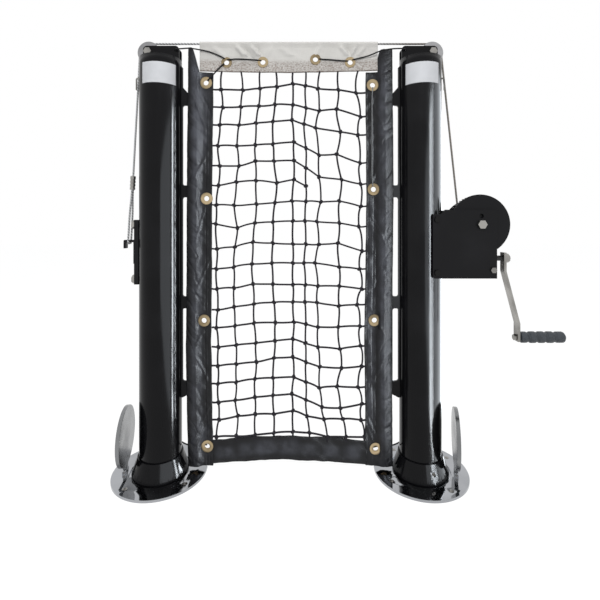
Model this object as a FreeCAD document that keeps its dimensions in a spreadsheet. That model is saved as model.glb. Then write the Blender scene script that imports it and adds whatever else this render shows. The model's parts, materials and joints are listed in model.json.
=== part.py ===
import FreeCAD, Part
import math
import os
import re
import Sketcher

# Tennis net on two removable posts, in millimetres.
#
# The origin lies on the floor, on the axis of the anchor post. +X runs along the net to the winch post,
# +Y points away from the viewer and +Z points up. Each post and what it carries is modelled in a frame of
# its own, with the post's axis on Z and +X pointing away from the net, and is then turned and moved into
# place, so the two ends share their functions.

V = FreeCAD.Vector
UP = V(0, 0, 1)
doc = FreeCAD.newDocument("tennis_net")
sheet = doc.addObject("Spreadsheet::Sheet", "Sizes")
nodes = []

SIZES = [
    # Posts and floor sleeves
    ("NetHeight", 1070),
    ("PostSpacing", 648),
    ("PostRadius", 50.8),
    ("PostWall", 4.8),
    ("PostTop", "=NetHeight - 44"),
    ("SleeveRadius", 57.15),
    ("SleeveGap", 0.4),
    ("SleeveDepth", 229),
    ("SleeveSink", 0.3),
    ("SleeveFloor", 4),
    ("SeatGap", 0.3),
    ("RunningGap", 0.05),
    ("CollarRadius", 56.3),
    ("CollarHeight", 48),
    ("CollarSkirt", 68),
    ("CollarLip", 2),
    ("CollarCrown", 54.3),
    ("CollarScrewRise", 28),
    ("CollarScrewRadius", 3),
    ("CollarScrewHead", 4.5),
    ("CollarScrewLength", 4),
    # Floor plates and lids
    ("PlateRadius", 114.3),
    ("PlateThick", 6),
    ("PlateOpening", 73),
    ("LedgeThick", 2),
    ("ScrewCircle", 95),
    ("ScrewHole", 3.2),
    ("ScrewSink", 3),
    ("LidRadius", 70),
    ("LidThick", 9),
    ("LidGap", 0.5),
    ("HingeReach", 84),
    ("HingePinRadius", 2.5),
    ("LugWidth", 14),
    ("KnuckleWidth", 6),
    ("AnchorPlateTurn", 8),
    ("WinchPlateTurn", -15.5),
    # Head and sheave
    ("CableRadius", 2.5),
    ("PlugDrop", 26),
    ("PlugThick", 6),
    ("CheekThick", 4),
    ("CheekRise", 32),
    ("CheekOut", 40),
    ("CheekIn", 49),
    ("CheekCorner", 10),
    ("CheekTuck", 43.5),
    ("CordHoleReach", 40),
    ("CordHoleDrop", 11),
    ("CordHoleRadius", 2.5),
    ("SheaveReach", 28),
    ("SheaveRadius", 27.5),
    ("SheaveRoot", 21.6),
    ("SheaveWidth", 14),
    ("SheaveFloor", 5.4),
    ("SheaveSideGap", 1.5),
    ("AxleRadius", 5),
    ("AxleHexWidth", 17),
    ("AxleHexThick", 6),
    ("NotchWidth", 17),
    ("NotchDrop", 16),
    # Lacing rail
    ("RailThick", 6),
    ("RailRoot", 4.5),
    ("RailReach", 76.2),
    ("RailStrip", 6.8),
    ("RailTop", "=PostTop - 14"),
    ("RailBottom", 185),
    ("RailShoulder", 16),
    ("TabHeight", 30),
    ("TabOneTop", "=PostTop - 83"),
    ("TabTwoTop", 714),
    ("TabThreeTop", 437),
    ("TabFourTop", 226),
    ("SlotCorner", 5),
    # Label and finger hook
    ("LabelBottom", "=PostTop - 71"),
    ("LabelHeight", 50),
    ("LabelSpan", 98),
    ("LabelThick", 0.45),
    ("LabelGap", 0.05),
    ("HookWireRadius", 2),
    ("HookWireTop", "=PostTop - 51"),
    ("HookWireDrop", 29),
    ("HookWireStand", 6),
    ("HookWireBend", 4),
    ("HookWireTurn", 20),
    # Cable hook on the anchor post
    ("BarBottom", 468),
    ("BarHeight", 160),
    ("BarWidth", 25),
    ("BarThick", 11.4),
    ("BarBoltInset", 12),
    ("BarBoltRadius", 5),
    ("BarBoltReach", 12),
    ("BarHexWidth", 19),
    ("BarHexThick", 8),
    ("HookPlateBottom", 519),
    ("HookPlateTop", 578),
    ("HookPlateThick", 4),
    ("HookWidth", 12),
    ("HookArmThick", 6),
    ("HookArmReach", 28.5),
    ("HookTipDrop", 21),
    ("HookSeat", 15.86),
    # Ferrule on the cable
    ("FerruleTop", 737),
    ("FerruleLength", 34),
    ("FerruleRadius", 6.5),
    ("FerruleWaist", 5.3),
    ("FerruleRidges", 4),
    ("LoopStrandGap", 3),
    # Side pockets, dowels and eyelets
    ("PocketMouth", 69.8),
    ("PocketPly", 3),
    ("PocketBottom", 16),
    ("RailSlack", 0.3),
    ("RailPocketDepth", 0.5),
    ("DowelRadius", 8),
    ("DowelGap", 0.3),
    ("DowelBottom", 20),
    ("AnchorDowelReach", 86),
    ("WinchDowelReach", 90),
    ("AnchorDowelTop", "=NetHeight - 78"),
    ("WinchDowelTop", "=NetHeight - 34"),
    ("AnchorFlapReach", 131),
    ("WinchFlapReach", 136),
    ("AnchorPocketTop", "=NetHeight - 13"),
    ("WinchPocketTop", "=NetHeight - 18"),
    ("FlapThick", 3),
    ("EyeletOuter", 13),
    ("EyeletHole", 6.5),
    ("EyeletWall", 1),
    ("AnchorEyeletReach", 114.2),
    ("WinchEyeletReach", 118.8),
    ("AnchorEyeletOne", "=NetHeight - 100"),
    ("AnchorEyeletTwo", 681),
    ("AnchorEyeletThree", 377),
    ("AnchorEyeletFour", 63),
    ("WinchEyeletOne", "=NetHeight - 106"),
    ("WinchEyeletTwo", 704),
    ("WinchEyeletThree", 377),
    ("WinchEyeletFour", 57),
    # Headband, mesh and bottom band
    ("HeadbandBottom", "=NetHeight - 75"),
    ("HeadbandThick", 3.4),
    ("HeadbandWall", 2.4),
    ("HeadbandStart", 97.6),
    ("HeadbandEnd", 106.3),
    ("BandEyeletOneReach", 164),
    ("BandEyeletTwoReach", 255),
    ("BandEyeletThreeReach", 262),
    ("BandEyeletFourReach", 175),
    ("BandEyeletRise", 26),
    ("BandEyeletFarRise", 33),
    ("MeshThick", 3.5),
    ("TwineWidth", 4),
    ("MeshColumns", 10),
    ("MeshRows", 19),
    ("BandBottom", 20),
    ("BandTop", 86),
    ("BandThick", 3.4),
    ("CordRadius", 1.5),
    # Drum and worm wheel
    ("DrumReach", 129),
    ("DrumHeight", 617),
    ("DrumAxleRadius", 8),
    ("DrumAxleHexWidth", 19),
    ("DrumAxleHexThick", 8),
    ("GuardRadius", 71.5),
    ("GuardThick", 3),
    ("GuardFront", -48),
    ("GuardHub", 25),
    ("WheelFront", -33),
    ("WheelThick", 10),
    ("WheelTeeth", 56),
    ("WheelModule", 2.4),
    ("WheelToothThick", 3.3),
    ("DrumRadius", 28),
    ("DrumBack", 21),
    ("FlangeRadius", 60),
    ("FlangeThick", 3),
    ("WindingPitch", 5.6),
    ("WindingQuarters", 10),
    # Winch housing
    ("HousingBottom", "=DrumHeight - 128"),
    ("HousingTop", "=DrumHeight + 35"),
    ("HousingStep", 10),
    ("HousingNear", 14),
    ("HousingFar", "=DrumReach + 37"),
    ("HousingStepEnd", 34),
    ("HousingChamfer", 9),
    ("HousingThick", 3),
    ("HousingCorner", 6),
    ("HousingFloorStart", "=PostRadius + 6.2"),
    ("HousingHoleRise", 20),
    ("HousingHoleRadius", 5.5),
    ("ClampBoltReach", 24),
    ("ClampBoltLow", "=HousingBottom + 14"),
    ("ClampBoltHigh", "=HousingTop - 23"),
    ("ClampBoltRadius", 4),
    ("SpacerBoltReach", "=DrumReach + 28"),
    ("SpacerBoltHeight", "=HousingBottom + 20"),
    ("BoltHexWidth", 13),
    ("BoltHexThick", 5),
    # Worm shaft and its bearings
    ("WormPitchRadius", 14.8),
    ("WormThreadThick", 2.5),
    ("WormThreadTurns", 4),
    ("WormThreadTuck", 0.5),
    ("WormLength", 40),
    ("ShaftRadius", 6.35),
    ("ShaftPlane", -28),
    ("BearingWidth", 30),
    ("BearingThick", 15),
    ("BearingInner", "=DrumReach - 36"),
    ("BearingOuter", "=DrumReach + 21"),
    ("BearingTopGap", 4.2),
    # Crank
    ("CrankReach", "=DrumReach + 62"),
    ("CrankWidth", 20),
    ("CrankThick", 6),
    ("CrankTop", 14),
    ("CrankStraight", 31),
    ("CrankOffset", 33),
    ("CrankFoot", 157),
    ("CrankRadius", 192),
    ("CrankEnd", 201),
    ("CrankNutWidth", 19),
    ("CrankNutThick", 9),
    ("GripStart", 3),
    ("GripLength", 106),
    ("GripRadius", 13.75),
    ("GripGroove", 2),
    ("GripRings", 5),
    ("GripBoltRadius", 4),
]


def fill_sheet():
    """Write every driving size into the spreadsheet, one row each, under its own name."""
    for row, (name, value) in enumerate(SIZES, start=1):
        sheet.set(f"A{row}", name)
        sheet.set(f"B{row}", str(value))
        sheet.setAlias(f"B{row}", name)
    doc.recompute()


def named(text):
    """An expression whose capitalised words are sizes of the sheet."""
    return re.sub(r"\b([A-Z][A-Za-z]+)\b", r"Sizes.\1", str(text))


def size(text):
    """The value, in millimetres or degrees, of an expression of sizes."""
    value = sheet.evalExpression(named(text))
    return float(getattr(value, "Value", value))


def bind(item, **sizes):
    """Tie properties of an object to expressions of sizes."""
    for name, text in sizes.items():
        item.setExpression(name, named(text))
    return item


def put(item, x="0", y="0", z="0"):
    """Tie an object's position to expressions of sizes."""
    for name, text in (("x", x), ("y", y), ("z", z)):
        if str(text) != "0":
            item.setExpression(f"Placement.Base.{name}", named(text))
    return item


def box(name, x, y, z):
    """A box between the low and high expression of each axis."""
    item = doc.addObject("Part::Box", name)
    bind(item, Length=f"({x[1]}) - ({x[0]})", Width=f"({y[1]}) - ({y[0]})", Height=f"({z[1]}) - ({z[0]})")
    return put(item, x[0], y[0], z[0])


AXES = {
    "x": FreeCAD.Rotation(V(0, 1, 0), 90),
    "y": FreeCAD.Rotation(V(1, 0, 0), -90),
    "z": FreeCAD.Rotation(),
}


def rod(name, radius, axis, start, length):
    """A cylinder that starts at a point and runs along +X, +Y or +Z."""
    item = doc.addObject("Part::Cylinder", name)
    bind(item, Radius=radius, Height=length)
    item.Placement = FreeCAD.Placement(V(), AXES[axis])
    return put(item, *start)


def taper(name, first, last, axis, start, length):
    """A cone frustum that starts at a point and runs along +X, +Y or +Z."""
    item = doc.addObject("Part::Cone", name)
    bind(item, Radius1=first, Radius2=last, Height=length)
    item.Placement = FreeCAD.Placement(V(), AXES[axis])
    return put(item, *start)


def hexagon(name, flats, axis, start, length):
    """A hexagonal nut or bolt head that starts at a point and runs along +X, +Y or +Z."""
    item = doc.addObject("Part::Prism", name)
    item.Polygon = 6
    bind(item, Circumradius=f"({flats}) / sqrt(3)", Height=length)
    item.Placement = FreeCAD.Placement(V(), AXES[axis])
    return put(item, *start)


def fuse(name, *parts):
    item = doc.addObject("Part::MultiFuse", name)
    item.Shapes = list(parts)
    item.Refine = True
    return item


def gather(name, *parts):
    """Solids that share a node, or one solid that already has a place of its own on the post."""
    item = doc.addObject("Part::Compound", name)
    item.Links = list(parts)
    return item


def cut(name, base, *tools):
    item = doc.addObject("Part::Cut", name)
    item.Base = base
    item.Tool = tools[0] if len(tools) == 1 else fuse(name + "_tools", *tools)
    item.Refine = True
    return item


def common(name, *parts):
    item = doc.addObject("Part::MultiCommon", name)
    item.Shapes = list(parts)
    return item


def shaped(name, shape):
    """A piece whose shape is worked out from the sheet's sizes in this file."""
    item = doc.addObject("Part::Feature", name)
    item.Shape = shape
    return item


def new_body(name):
    return doc.addObject("PartDesign::Body", name)


def sketch(owner, name, role, offset="0"):
    """A sketch on one of the body's own origin planes, moved along the plane's normal."""
    item = owner.newObject("Sketcher::SketchObject", name)
    plane = next(feature for feature in owner.Origin.OriginFeatures if feature.Role == role)
    item.AttachmentSupport = (plane, [""])
    item.MapMode = "FlatFace"
    if offset != "0":
        item.setExpression("AttachmentOffset.Base.z", named(offset))
    return item


def fix_point(drawing, index, position, point):
    """Dimension a point of the sketch from the sketch's origin."""
    for kind, text in (("DistanceX", point[0]), ("DistanceY", point[1])):
        number = drawing.addConstraint(Sketcher.Constraint(kind, -1, 1, index, position, size(text)))
        drawing.setExpression(f"Constraints[{number}]", named(text))


def polygon(drawing, points):
    """A closed outline of straight lines through points given as pairs of expressions."""
    first = drawing.GeometryCount
    corners = [V(size(x), size(y), 0) for x, y in points]
    count = len(corners)
    for index in range(count):
        drawing.addGeometry(Part.LineSegment(corners[index], corners[(index + 1) % count]), False)
    for index in range(count):
        following = first + (index + 1) % count
        drawing.addConstraint(Sketcher.Constraint("Coincident", first + index, 2, following, 1))
    for index, point in enumerate(points):
        fix_point(drawing, first + index, 1, point)


def circle(drawing, x, y, radius):
    index = drawing.addGeometry(Part.Circle(V(size(x), size(y), 0), UP, size(radius)), False)
    fix_point(drawing, index, 3, (x, y))
    number = drawing.addConstraint(Sketcher.Constraint("Radius", index, size(radius)))
    drawing.setExpression(f"Constraints[{number}]", named(radius))


def pad(owner, name, drawing, length, both=True):
    """A pad of the sketch, to both sides of its plane or along the plane's normal."""
    item = owner.newObject("PartDesign::Pad", name)
    item.Profile = drawing
    item.SideType = "Symmetric" if both else "One side"
    return bind(item, Length=length)


def pocket(owner, name, drawing, length):
    """A pocket of the sketch to both sides of its plane."""
    item = owner.newObject("PartDesign::Pocket", name)
    item.Profile = drawing
    item.SideType = "Symmetric"
    return bind(item, Length=length)


def revolve(owner, name, drawing, axis="V_Axis"):
    """A full turn of the sketch about one of its own axes."""
    item = owner.newObject("PartDesign::Revolution", name)
    item.Profile = drawing
    item.ReferenceAxis = (drawing, [axis])
    item.Angle = 360
    return item


def edges_at(feature, points, reach=0.05):
    """Names of the edges whose middle lies on one of the points, as X and Z."""
    names = []
    for number, edge in enumerate(feature.Shape.Edges, start=1):
        middle = edge.valueAt((edge.FirstParameter + edge.LastParameter) / 2)
        if any(abs(middle.x - x) < reach and abs(middle.z - z) < reach for x, z in points):
            names.append(f"Edge{number}")
    return names


def round_edges(owner, name, base, points, radius):
    """Fillet the edges that run across the plate at the points, given as pairs of expressions."""
    doc.recompute()
    item = owner.newObject("PartDesign::Fillet", name)
    item.Base = (base, edges_at(base, [(size(x), size(z)) for x, z in points]))
    return bind(item, Radius=radius)


def add_node(label, item, end=None, turn="0"):
    """Name a finished piece and, at one end of the net, turn it and move it to its post."""
    item.Label = label
    if end:
        item.Placement = FreeCAD.Placement(V(), FreeCAD.Rotation(UP, end.turn + size(turn)))
        item.setExpression("Placement.Base.x", named(end.spot))
    nodes.append(item)
    return item


class End:
    """One end of the net. Its frame has the post's axis on Z and +X pointing away from the net."""

    def __init__(self, name, spot, turn, front):
        self.name = name
        self.spot = spot
        self.turn = turn
        self.front = front

    def world(self, x, y, z):
        """A point of this end's frame, given as numbers, in the frame of the net."""
        sign = -1 if self.turn else 1
        return V(size(self.spot) + sign * x, sign * y, z)


ANCHOR = End("anchor", "0", 180, 1)
WINCH = End("winch", "PostSpacing", 0, -1)

# Places that several pieces share
POST_FOOT = "SleeveFloor + SeatGap - SleeveDepth"
COLLAR_FOOT = "SeatGap - SleeveSink"
HINGE_RISE = "(PlateThick + LidThick / 2 + LidGap)"
CABLE_BEND = "(SheaveRoot + SeatGap + CableRadius)"
CABLE_LINE = "(NetHeight - CableRadius)"
SHEAVE_LINE = f"({CABLE_LINE} - {CABLE_BEND})"
CHEEK_FACE = "(SheaveWidth / 2 + SheaveSideGap)"
PLUG_TOP = "(PostTop - PlugDrop + PlugThick)"
BAR_FACE = "(PostRadius + SeatGap + BarThick)"
HOUSING_FACE = "(PostRadius + SeatGap + HousingThick)"
WHEEL_RADIUS = "(WheelTeeth * WheelModule / 2)"
SHAFT_LINE = f"(DrumHeight - {WHEEL_RADIUS} - WormPitchRadius)"
WINDING_RADIUS = "(DrumRadius + SeatGap + CableRadius)"
FLAP_TOP = "(HeadbandBottom - SeatGap)"


def tube(points, radius, bends=None):
    """A round cord along straight runs joined by tangent arcs.

    An arc's radius is 0.45 of its shorter run divided by the tangent of half its turn, or the one given.
    """
    edges = []
    start = points[0]
    radii = []
    for index in range(1, len(points) - 1):
        before = points[index] - points[index - 1]
        after = points[index + 1] - points[index]
        turn = before.getAngle(after)
        shorter = min(before.Length, after.Length)
        bend = bends[index - 1] if bends else 0.45 * shorter / math.tan(turn / 2)
        reach = bend * math.tan(turn / 2)
        first = points[index] - before.normalize() * reach
        last = points[index] + after.normalize() * reach
        inward = (after - before).normalize()
        middle = points[index] + inward * (math.hypot(bend, reach) - bend)
        edges.append(Part.LineSegment(start, first).toShape())
        edges.append(Part.Arc(first, middle, last).toShape())
        start = last
        radii.append(round(bend, 1))
    edges.append(Part.LineSegment(start, points[-1]).toShape())
    return swept(edges, radius, sides=6), radii


def swept(edges, radius, sides=0):
    """A solid swept along joined edges, with a round section or one of a few flat sides."""
    path = Part.Wire(edges)
    start = edges[0].valueAt(edges[0].FirstParameter)
    heading = edges[0].tangentAt(edges[0].FirstParameter)
    if sides:
        across = heading.cross(UP).normalize()
        corners = []
        for index in range(sides + 1):
            spin = FreeCAD.Rotation(heading, 360 * index / sides)
            corners.append(start + spin.multVec(across) * radius)
        section = Part.makePolygon(corners)
    else:
        section = Part.Wire([Part.Circle(start, heading, radius).toShape()])
    return path.makePipeShell([section], True, False)


def floor_sleeve(end):
    """The tube that is set in the floor, closed below, with the post standing in it."""
    outer = rod("sleeve_wall", "SleeveRadius", "z", ("0", "0", "-SleeveDepth"), "SleeveDepth - SleeveSink")
    bore = rod("sleeve_bore", "PostRadius + SleeveGap", "z", ("0", "0", "SleeveFloor - SleeveDepth"),
               "SleeveDepth + SleeveSink")
    add_node(f"{end.name}_floor_sleeve", cut("floor_sleeve", outer, bore), end)


def floor_plate(end, turn):
    """The ring plate that covers the hole in the floor, with a ledge over the sleeve and the hinge's knuckles."""
    wheel = new_body("floor_plate")
    profile = sketch(wheel, "ring_profile", "XZ_Plane")
    polygon(profile, [
        ("CollarRadius + SeatGap", "0"),
        ("PlateRadius", "0"),
        ("PlateRadius", "PlateThick"),
        ("PlateOpening", "PlateThick"),
        ("PlateOpening", "LedgeThick"),
        ("CollarRadius + SeatGap", "LedgeThick"),
    ])
    revolve(wheel, "ring", profile)
    tools = []
    for quarter in range(4):
        reach = []
        for axis in ("cos", "sin"):
            reach.append(f"ScrewCircle * {axis}({45 + 90 * quarter})")
        low = (reach[0], reach[1], "-PlateThick")
        sink = (reach[0], reach[1], "PlateThick - ScrewSink")
        tools.append(rod("screw_hole", "ScrewHole", "z", low, "3 * PlateThick"))
        tools.append(taper("screw_sink", "ScrewHole", "ScrewHole + 2 * ScrewSink", "z", sink, "2 * ScrewSink"))
    drilled = cut("drilled_ring", wheel, *tools)
    parts = [drilled]
    for side in (-1, 1):
        inner = "(LugWidth / 2 + SeatGap)"
        low = inner if side > 0 else f"-{inner} - KnuckleWidth"
        high = f"{inner} + KnuckleWidth" if side > 0 else f"-{inner}"
        parts.append(box("knuckle_foot", ("HingeReach - LidThick / 2", "HingeReach + LidThick / 2"),
                         (low, high), ("PlateThick - SeatGap", HINGE_RISE)))
        parts.append(rod("knuckle", "LidThick / 2", "y", ("HingeReach", low, HINGE_RISE), "KnuckleWidth"))
    bore = rod("knuckle_bore", "HingePinRadius + RunningGap", "y", ("HingeReach", "-LugWidth * 2", HINGE_RISE),
               "LugWidth * 4")
    plate = cut("hinged_plate", fuse("plate_and_knuckles", *parts), bore)
    add_node(f"{end.name}_floor_plate", plate, end, turn)
    pin_half = "(LugWidth / 2 + SeatGap + KnuckleWidth)"
    pin = rod("lid_pin", "HingePinRadius", "y", ("HingeReach", f"-{pin_half}", HINGE_RISE), f"2 * {pin_half}")
    add_node(f"{end.name}_lid_pin", gather("hinge_pin", pin), end, turn)


def floor_lid(end, turn):
    """The flip lid, standing upright on its hinge, with a lug below."""
    disc = rod("lid_disc", "LidRadius", "x", ("HingeReach - LidThick / 2", "0", f"{HINGE_RISE} + HingeReach"),
               "LidThick")
    lug = box("lid_lug", ("HingeReach - LidThick / 2", "HingeReach + LidThick / 2"),
              ("-LugWidth / 2", "LugWidth / 2"), (HINGE_RISE, f"{HINGE_RISE} + HingeReach - LidRadius + LidThick"))
    barrel = rod("lid_barrel", "LidThick / 2", "y", ("HingeReach", "-LugWidth / 2", HINGE_RISE), "LugWidth")
    bore = rod("lid_bore", "HingePinRadius + RunningGap", "y", ("HingeReach", "-LugWidth", HINGE_RISE),
               "2 * LugWidth")
    lid = cut("lid", fuse("lid_and_lug", disc, lug, barrel), bore)
    add_node(f"{end.name}_lid", lid, end, turn)


def post(end):
    """The tube, with a notch for the sheave at its top and the holes of its bolts."""
    outer = rod("tube_wall", "PostRadius", "z", ("0", "0", POST_FOOT), f"PostTop - ({POST_FOOT})")
    tools = [
        rod("tube_bore", "PostRadius - PostWall", "z", ("0", "0", f"{POST_FOOT} - PostWall"),
            f"PostTop - ({POST_FOOT}) + 2 * PostWall"),
        box("sheave_notch", ("PostRadius / 2", "PostRadius + PostWall"), ("-NotchWidth / 2", "NotchWidth / 2"),
            ("PostTop - NotchDrop", "PostTop + NotchDrop")),
    ]
    if end is ANCHOR:
        for height in bar_bolt_heights():
            tools.append(rod("bar_bolt_hole", "BarBoltRadius + RunningGap", "x", ("PostRadius / 2", "0", height),
                             "PostRadius"))
    else:
        for height in ("ClampBoltLow", "ClampBoltHigh"):
            tools.append(rod("clamp_bolt_hole", "ClampBoltRadius + RunningGap", "y",
                             ("ClampBoltReach", "-2 * PostRadius", height), "4 * PostRadius"))
    add_node(f"{end.name}_post", cut("post", outer, *tools), end)


def collar(end, azimuth):
    """The cone that carries the post on its sleeve and covers the plate's opening, and its sunk screw."""
    body = new_body("collar")
    profile = sketch(body, "collar_profile", "XZ_Plane")
    inner = "PostRadius + SeatGap"
    top = f"{COLLAR_FOOT} + CollarHeight"
    polygon(profile, [
        (inner, COLLAR_FOOT),
        ("CollarRadius", COLLAR_FOOT),
        ("CollarRadius", "LedgeThick + SeatGap"),
        ("CollarSkirt", "LedgeThick + SeatGap"),
        ("CollarSkirt", "PlateThick + CollarLip"),
        ("CollarCrown", top),
        (inner, top),
    ])
    revolve(body, "collar_ring", profile)
    rise = f"{COLLAR_FOOT} + CollarScrewRise"
    hole = rod("collar_hole", "CollarScrewRadius + RunningGap", "x", ("PostRadius / 2", "0", rise), "PostRadius")
    sink = rod("collar_sink", "CollarScrewHead + RunningGap", "x", ("CollarRadius", "0", rise), "CollarSkirt")
    add_node(f"{end.name}_collar", cut("collar_drilled", body, hole, sink), end, azimuth)
    start = "(PostRadius + SeatGap)"
    shank = rod("screw_shank", "CollarScrewRadius", "x", (start, "0", rise), f"CollarRadius - {start} + SeatGap")
    head = rod("screw_head", "CollarScrewHead", "x", ("CollarRadius + SeatGap", "0", rise), "CollarScrewLength")
    socket = hexagon("screw_socket", "CollarScrewHead", "x",
                     ("CollarRadius + SeatGap + CollarScrewLength / 3", "0", rise), "CollarScrewLength")
    add_node(f"{end.name}_collar_screw", cut("collar_screw", fuse("screw", shank, head), socket), end, azimuth)


def head(end):
    """The welded head: a plug disc in the tube and two cheeks that carry the sheave and take the lacing."""
    body = new_body("head")
    disc = sketch(body, "plug_outline", "XY_Plane", "PostTop - PlugDrop")
    circle(disc, "0", "0", "PostRadius - PostWall - SeatGap")
    pad(body, "plug", disc, "PlugThick", both=False)
    side = sketch(body, "cheek_outline", "XZ_Plane")
    top = "(PostTop + CheekRise)"
    polygon(side, [
        ("CheekOut", f"{PLUG_TOP} - SeatGap"),
        ("CheekOut", top),
        ("-CheekIn", top),
        ("-CheekIn", "PostTop"),
        ("-CheekTuck", "PostTop"),
        ("-CheekTuck", f"{PLUG_TOP} - SeatGap"),
    ])
    cheeks = pad(body, "cheeks", side, f"2 * ({CHEEK_FACE} + CheekThick)")
    corners = round_edges(body, "cheek_corners", cheeks, [("CheekOut", top), ("-CheekIn", top)], "CheekCorner")
    between = sketch(body, "gap_outline", "XZ_Plane")
    polygon(between, [
        ("-CheekIn - CheekThick", PLUG_TOP),
        ("CheekOut + CheekThick", PLUG_TOP),
        ("CheekOut + CheekThick", f"{top} + CheekThick"),
        ("-CheekIn - CheekThick", f"{top} + CheekThick"),
    ])
    pocket(body, "gap_between_cheeks", between, f"2 * {CHEEK_FACE}")
    holes = sketch(body, "hole_outlines", "XZ_Plane")
    circle(holes, "SheaveReach", SHEAVE_LINE, "AxleRadius + RunningGap")
    circle(holes, "-CordHoleReach", f"{top} - CordHoleDrop", "CordHoleRadius")
    pocket(body, "holes", holes, "2 * PostRadius")
    add_node(f"{end.name}_head", body, end)


def sheave(end):
    """The grooved wheel that the cable runs over, and the bolt that it turns on."""
    body = new_body("sheave")
    profile = sketch(body, "sheave_profile", "XY_Plane")
    polygon(profile, [
        ("AxleRadius + RunningGap", "-SheaveWidth / 2"),
        ("SheaveRadius", "-SheaveWidth / 2"),
        ("SheaveRoot", "-SheaveFloor / 2"),
        ("SheaveRoot", "SheaveFloor / 2"),
        ("SheaveRadius", "SheaveWidth / 2"),
        ("AxleRadius + RunningGap", "SheaveWidth / 2"),
    ])
    revolve(body, "sheave_turned", profile)
    put(body, "SheaveReach", "0", SHEAVE_LINE)
    add_node(f"{end.name}_sheave", gather("sheave_wheel", body), end)
    outer = f"({CHEEK_FACE} + CheekThick)"
    line = ("SheaveReach", "0", SHEAVE_LINE)
    shank = rod("axle_shank", "AxleRadius", "y", (line[0], f"-{outer}", line[2]), f"2 * {outer}")
    front = hexagon("axle_head", "AxleHexWidth", "y", (line[0], f"-{outer} - AxleHexThick", line[2]),
                    "AxleHexThick")
    back = hexagon("axle_nut", "AxleHexWidth", "y", (line[0], outer, line[2]), "AxleHexThick")
    add_node(f"{end.name}_axle_bolt", fuse("axle_bolt", shank, front, back), end)


def lacing_rail(end):
    """The plate welded along the post, cut out to a strip on four tabs that the net is laced to."""
    body = new_body("lacing_rail")
    side = sketch(body, "rail_outline", "XZ_Plane")
    root = "(PostRadius + RailRoot)"
    strip = "(RailReach - RailStrip)"
    polygon(side, [
        ("-PostRadius", "RailBottom"),
        (f"-{root}", "RailBottom"),
        ("-RailReach", "TabFourTop - TabHeight"),
        ("-RailReach", "TabOneTop - RailStrip"),
        (f"-{strip}", "TabOneTop"),
        (f"-{root}", "TabOneTop + RailShoulder"),
        (f"-{root}", "RailTop - RailRoot"),
        ("-PostRadius", "RailTop"),
    ])
    corners = []
    tops = ("TabOneTop", "TabTwoTop", "TabThreeTop", "TabFourTop")
    for upper, lower in zip(tops, tops[1:]):
        slot = [(f"-{strip}", lower), (f"-{root}", lower), (f"-{root}", f"{upper} - TabHeight"),
                (f"-{strip}", f"{upper} - TabHeight")]
        polygon(side, slot)
        corners += slot
    plate = pad(body, "rail_plate", side, "RailThick")
    round_edges(body, "slot_corners", plate, corners, "SlotCorner")
    add_node(f"{end.name}_lacing_rail", body, end)


def label_patch(end):
    """The blank label on the front of the tube."""
    inner = "(PostRadius + LabelGap)"
    patch = rod("label_patch", f"{inner} + LabelThick", "z", ("0", "0", "LabelBottom"), "LabelHeight")
    bind(patch, Angle="LabelSpan")
    core = rod("label_core", inner, "z", ("0", "0", "LabelBottom - LabelHeight"), "3 * LabelHeight")
    label = cut("label", patch, core)
    add_node(f"{end.name}_label", label, end, f"{90 * end.front} - LabelSpan / 2")


def finger_hook(end):
    """The bent wire welded to the outboard side of the tube, for the end of a cord."""
    out = size("PostRadius + HookWireStand")
    top = size("HookWireTop")
    low = size("HookWireTop - HookWireDrop")
    points = [V(size("PostRadius"), 0, top), V(out, 0, top), V(out, 0, low)]
    wire, radii = tube(points, size("HookWireRadius"), [size("HookWireBend")])
    add_node(f"{end.name}_finger_hook", shaped("finger_hook", wire), end, f"{end.front} * HookWireTurn")


def bar_bolt_heights():
    return "BarBottom + BarBoltInset", "BarBottom + BarHeight - BarBoltInset"


def cable_hook():
    """The bar bolted to the anchor post, its two bolts, and the hook that holds the cable's loop."""
    bar = box("bar_block", ("PostRadius + SeatGap", BAR_FACE), ("-BarWidth / 2", "BarWidth / 2"),
              ("BarBottom", "BarBottom + BarHeight"))
    holes = []
    bolts = []
    for height in bar_bolt_heights():
        start = ("PostRadius - BarBoltReach", "0", height)
        length = f"{BAR_FACE} - (PostRadius - BarBoltReach)"
        holes.append(rod("bar_hole", "BarBoltRadius + RunningGap", "x", start, "2 * PostRadius"))
        shank = rod("bar_bolt_shank", "BarBoltRadius", "x", start, length)
        hex_head = hexagon("bar_bolt_head", "BarHexWidth", "x", (BAR_FACE, "0", height), "BarHexThick")
        bolts.append(fuse("bar_bolt", shank, hex_head))
    add_node("hook_bar", cut("bar_drilled", bar, *holes), ANCHOR)
    add_node("hook_bolts", gather("bar_bolts", *bolts), ANCHOR)
    body = new_body("hook_body")
    side = sketch(body, "hook_outline", "XZ_Plane")
    inner = f"({BAR_FACE} + HookPlateThick)"
    outer = f"({BAR_FACE} + HookArmReach)"
    under = "(HookPlateTop - HookArmThick)"
    polygon(side, [
        (BAR_FACE, "HookPlateBottom"),
        (inner, "HookPlateBottom"),
        (inner, under),
        (f"{outer} - HookArmThick", under),
        (f"{outer} - HookArmThick", "HookPlateTop - HookTipDrop"),
        (outer, "HookPlateTop - HookTipDrop"),
        (outer, "HookPlateTop"),
        (BAR_FACE, "HookPlateTop"),
    ])
    plate = pad(body, "hook_plate", side, "HookWidth")
    doc.recompute()
    middle_x = (size(inner) + size(f"{outer} - HookArmThick")) / 2
    lower = round_edges(body, "arm_underside", plate, [(middle_x, under)], "HookArmThick / 2.5")
    round_edges(body, "arm_corner", lower, [(outer, "HookPlateTop")], "HookArmThick / 2")
    add_node("cable_hook", body, ANCHOR)


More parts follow.
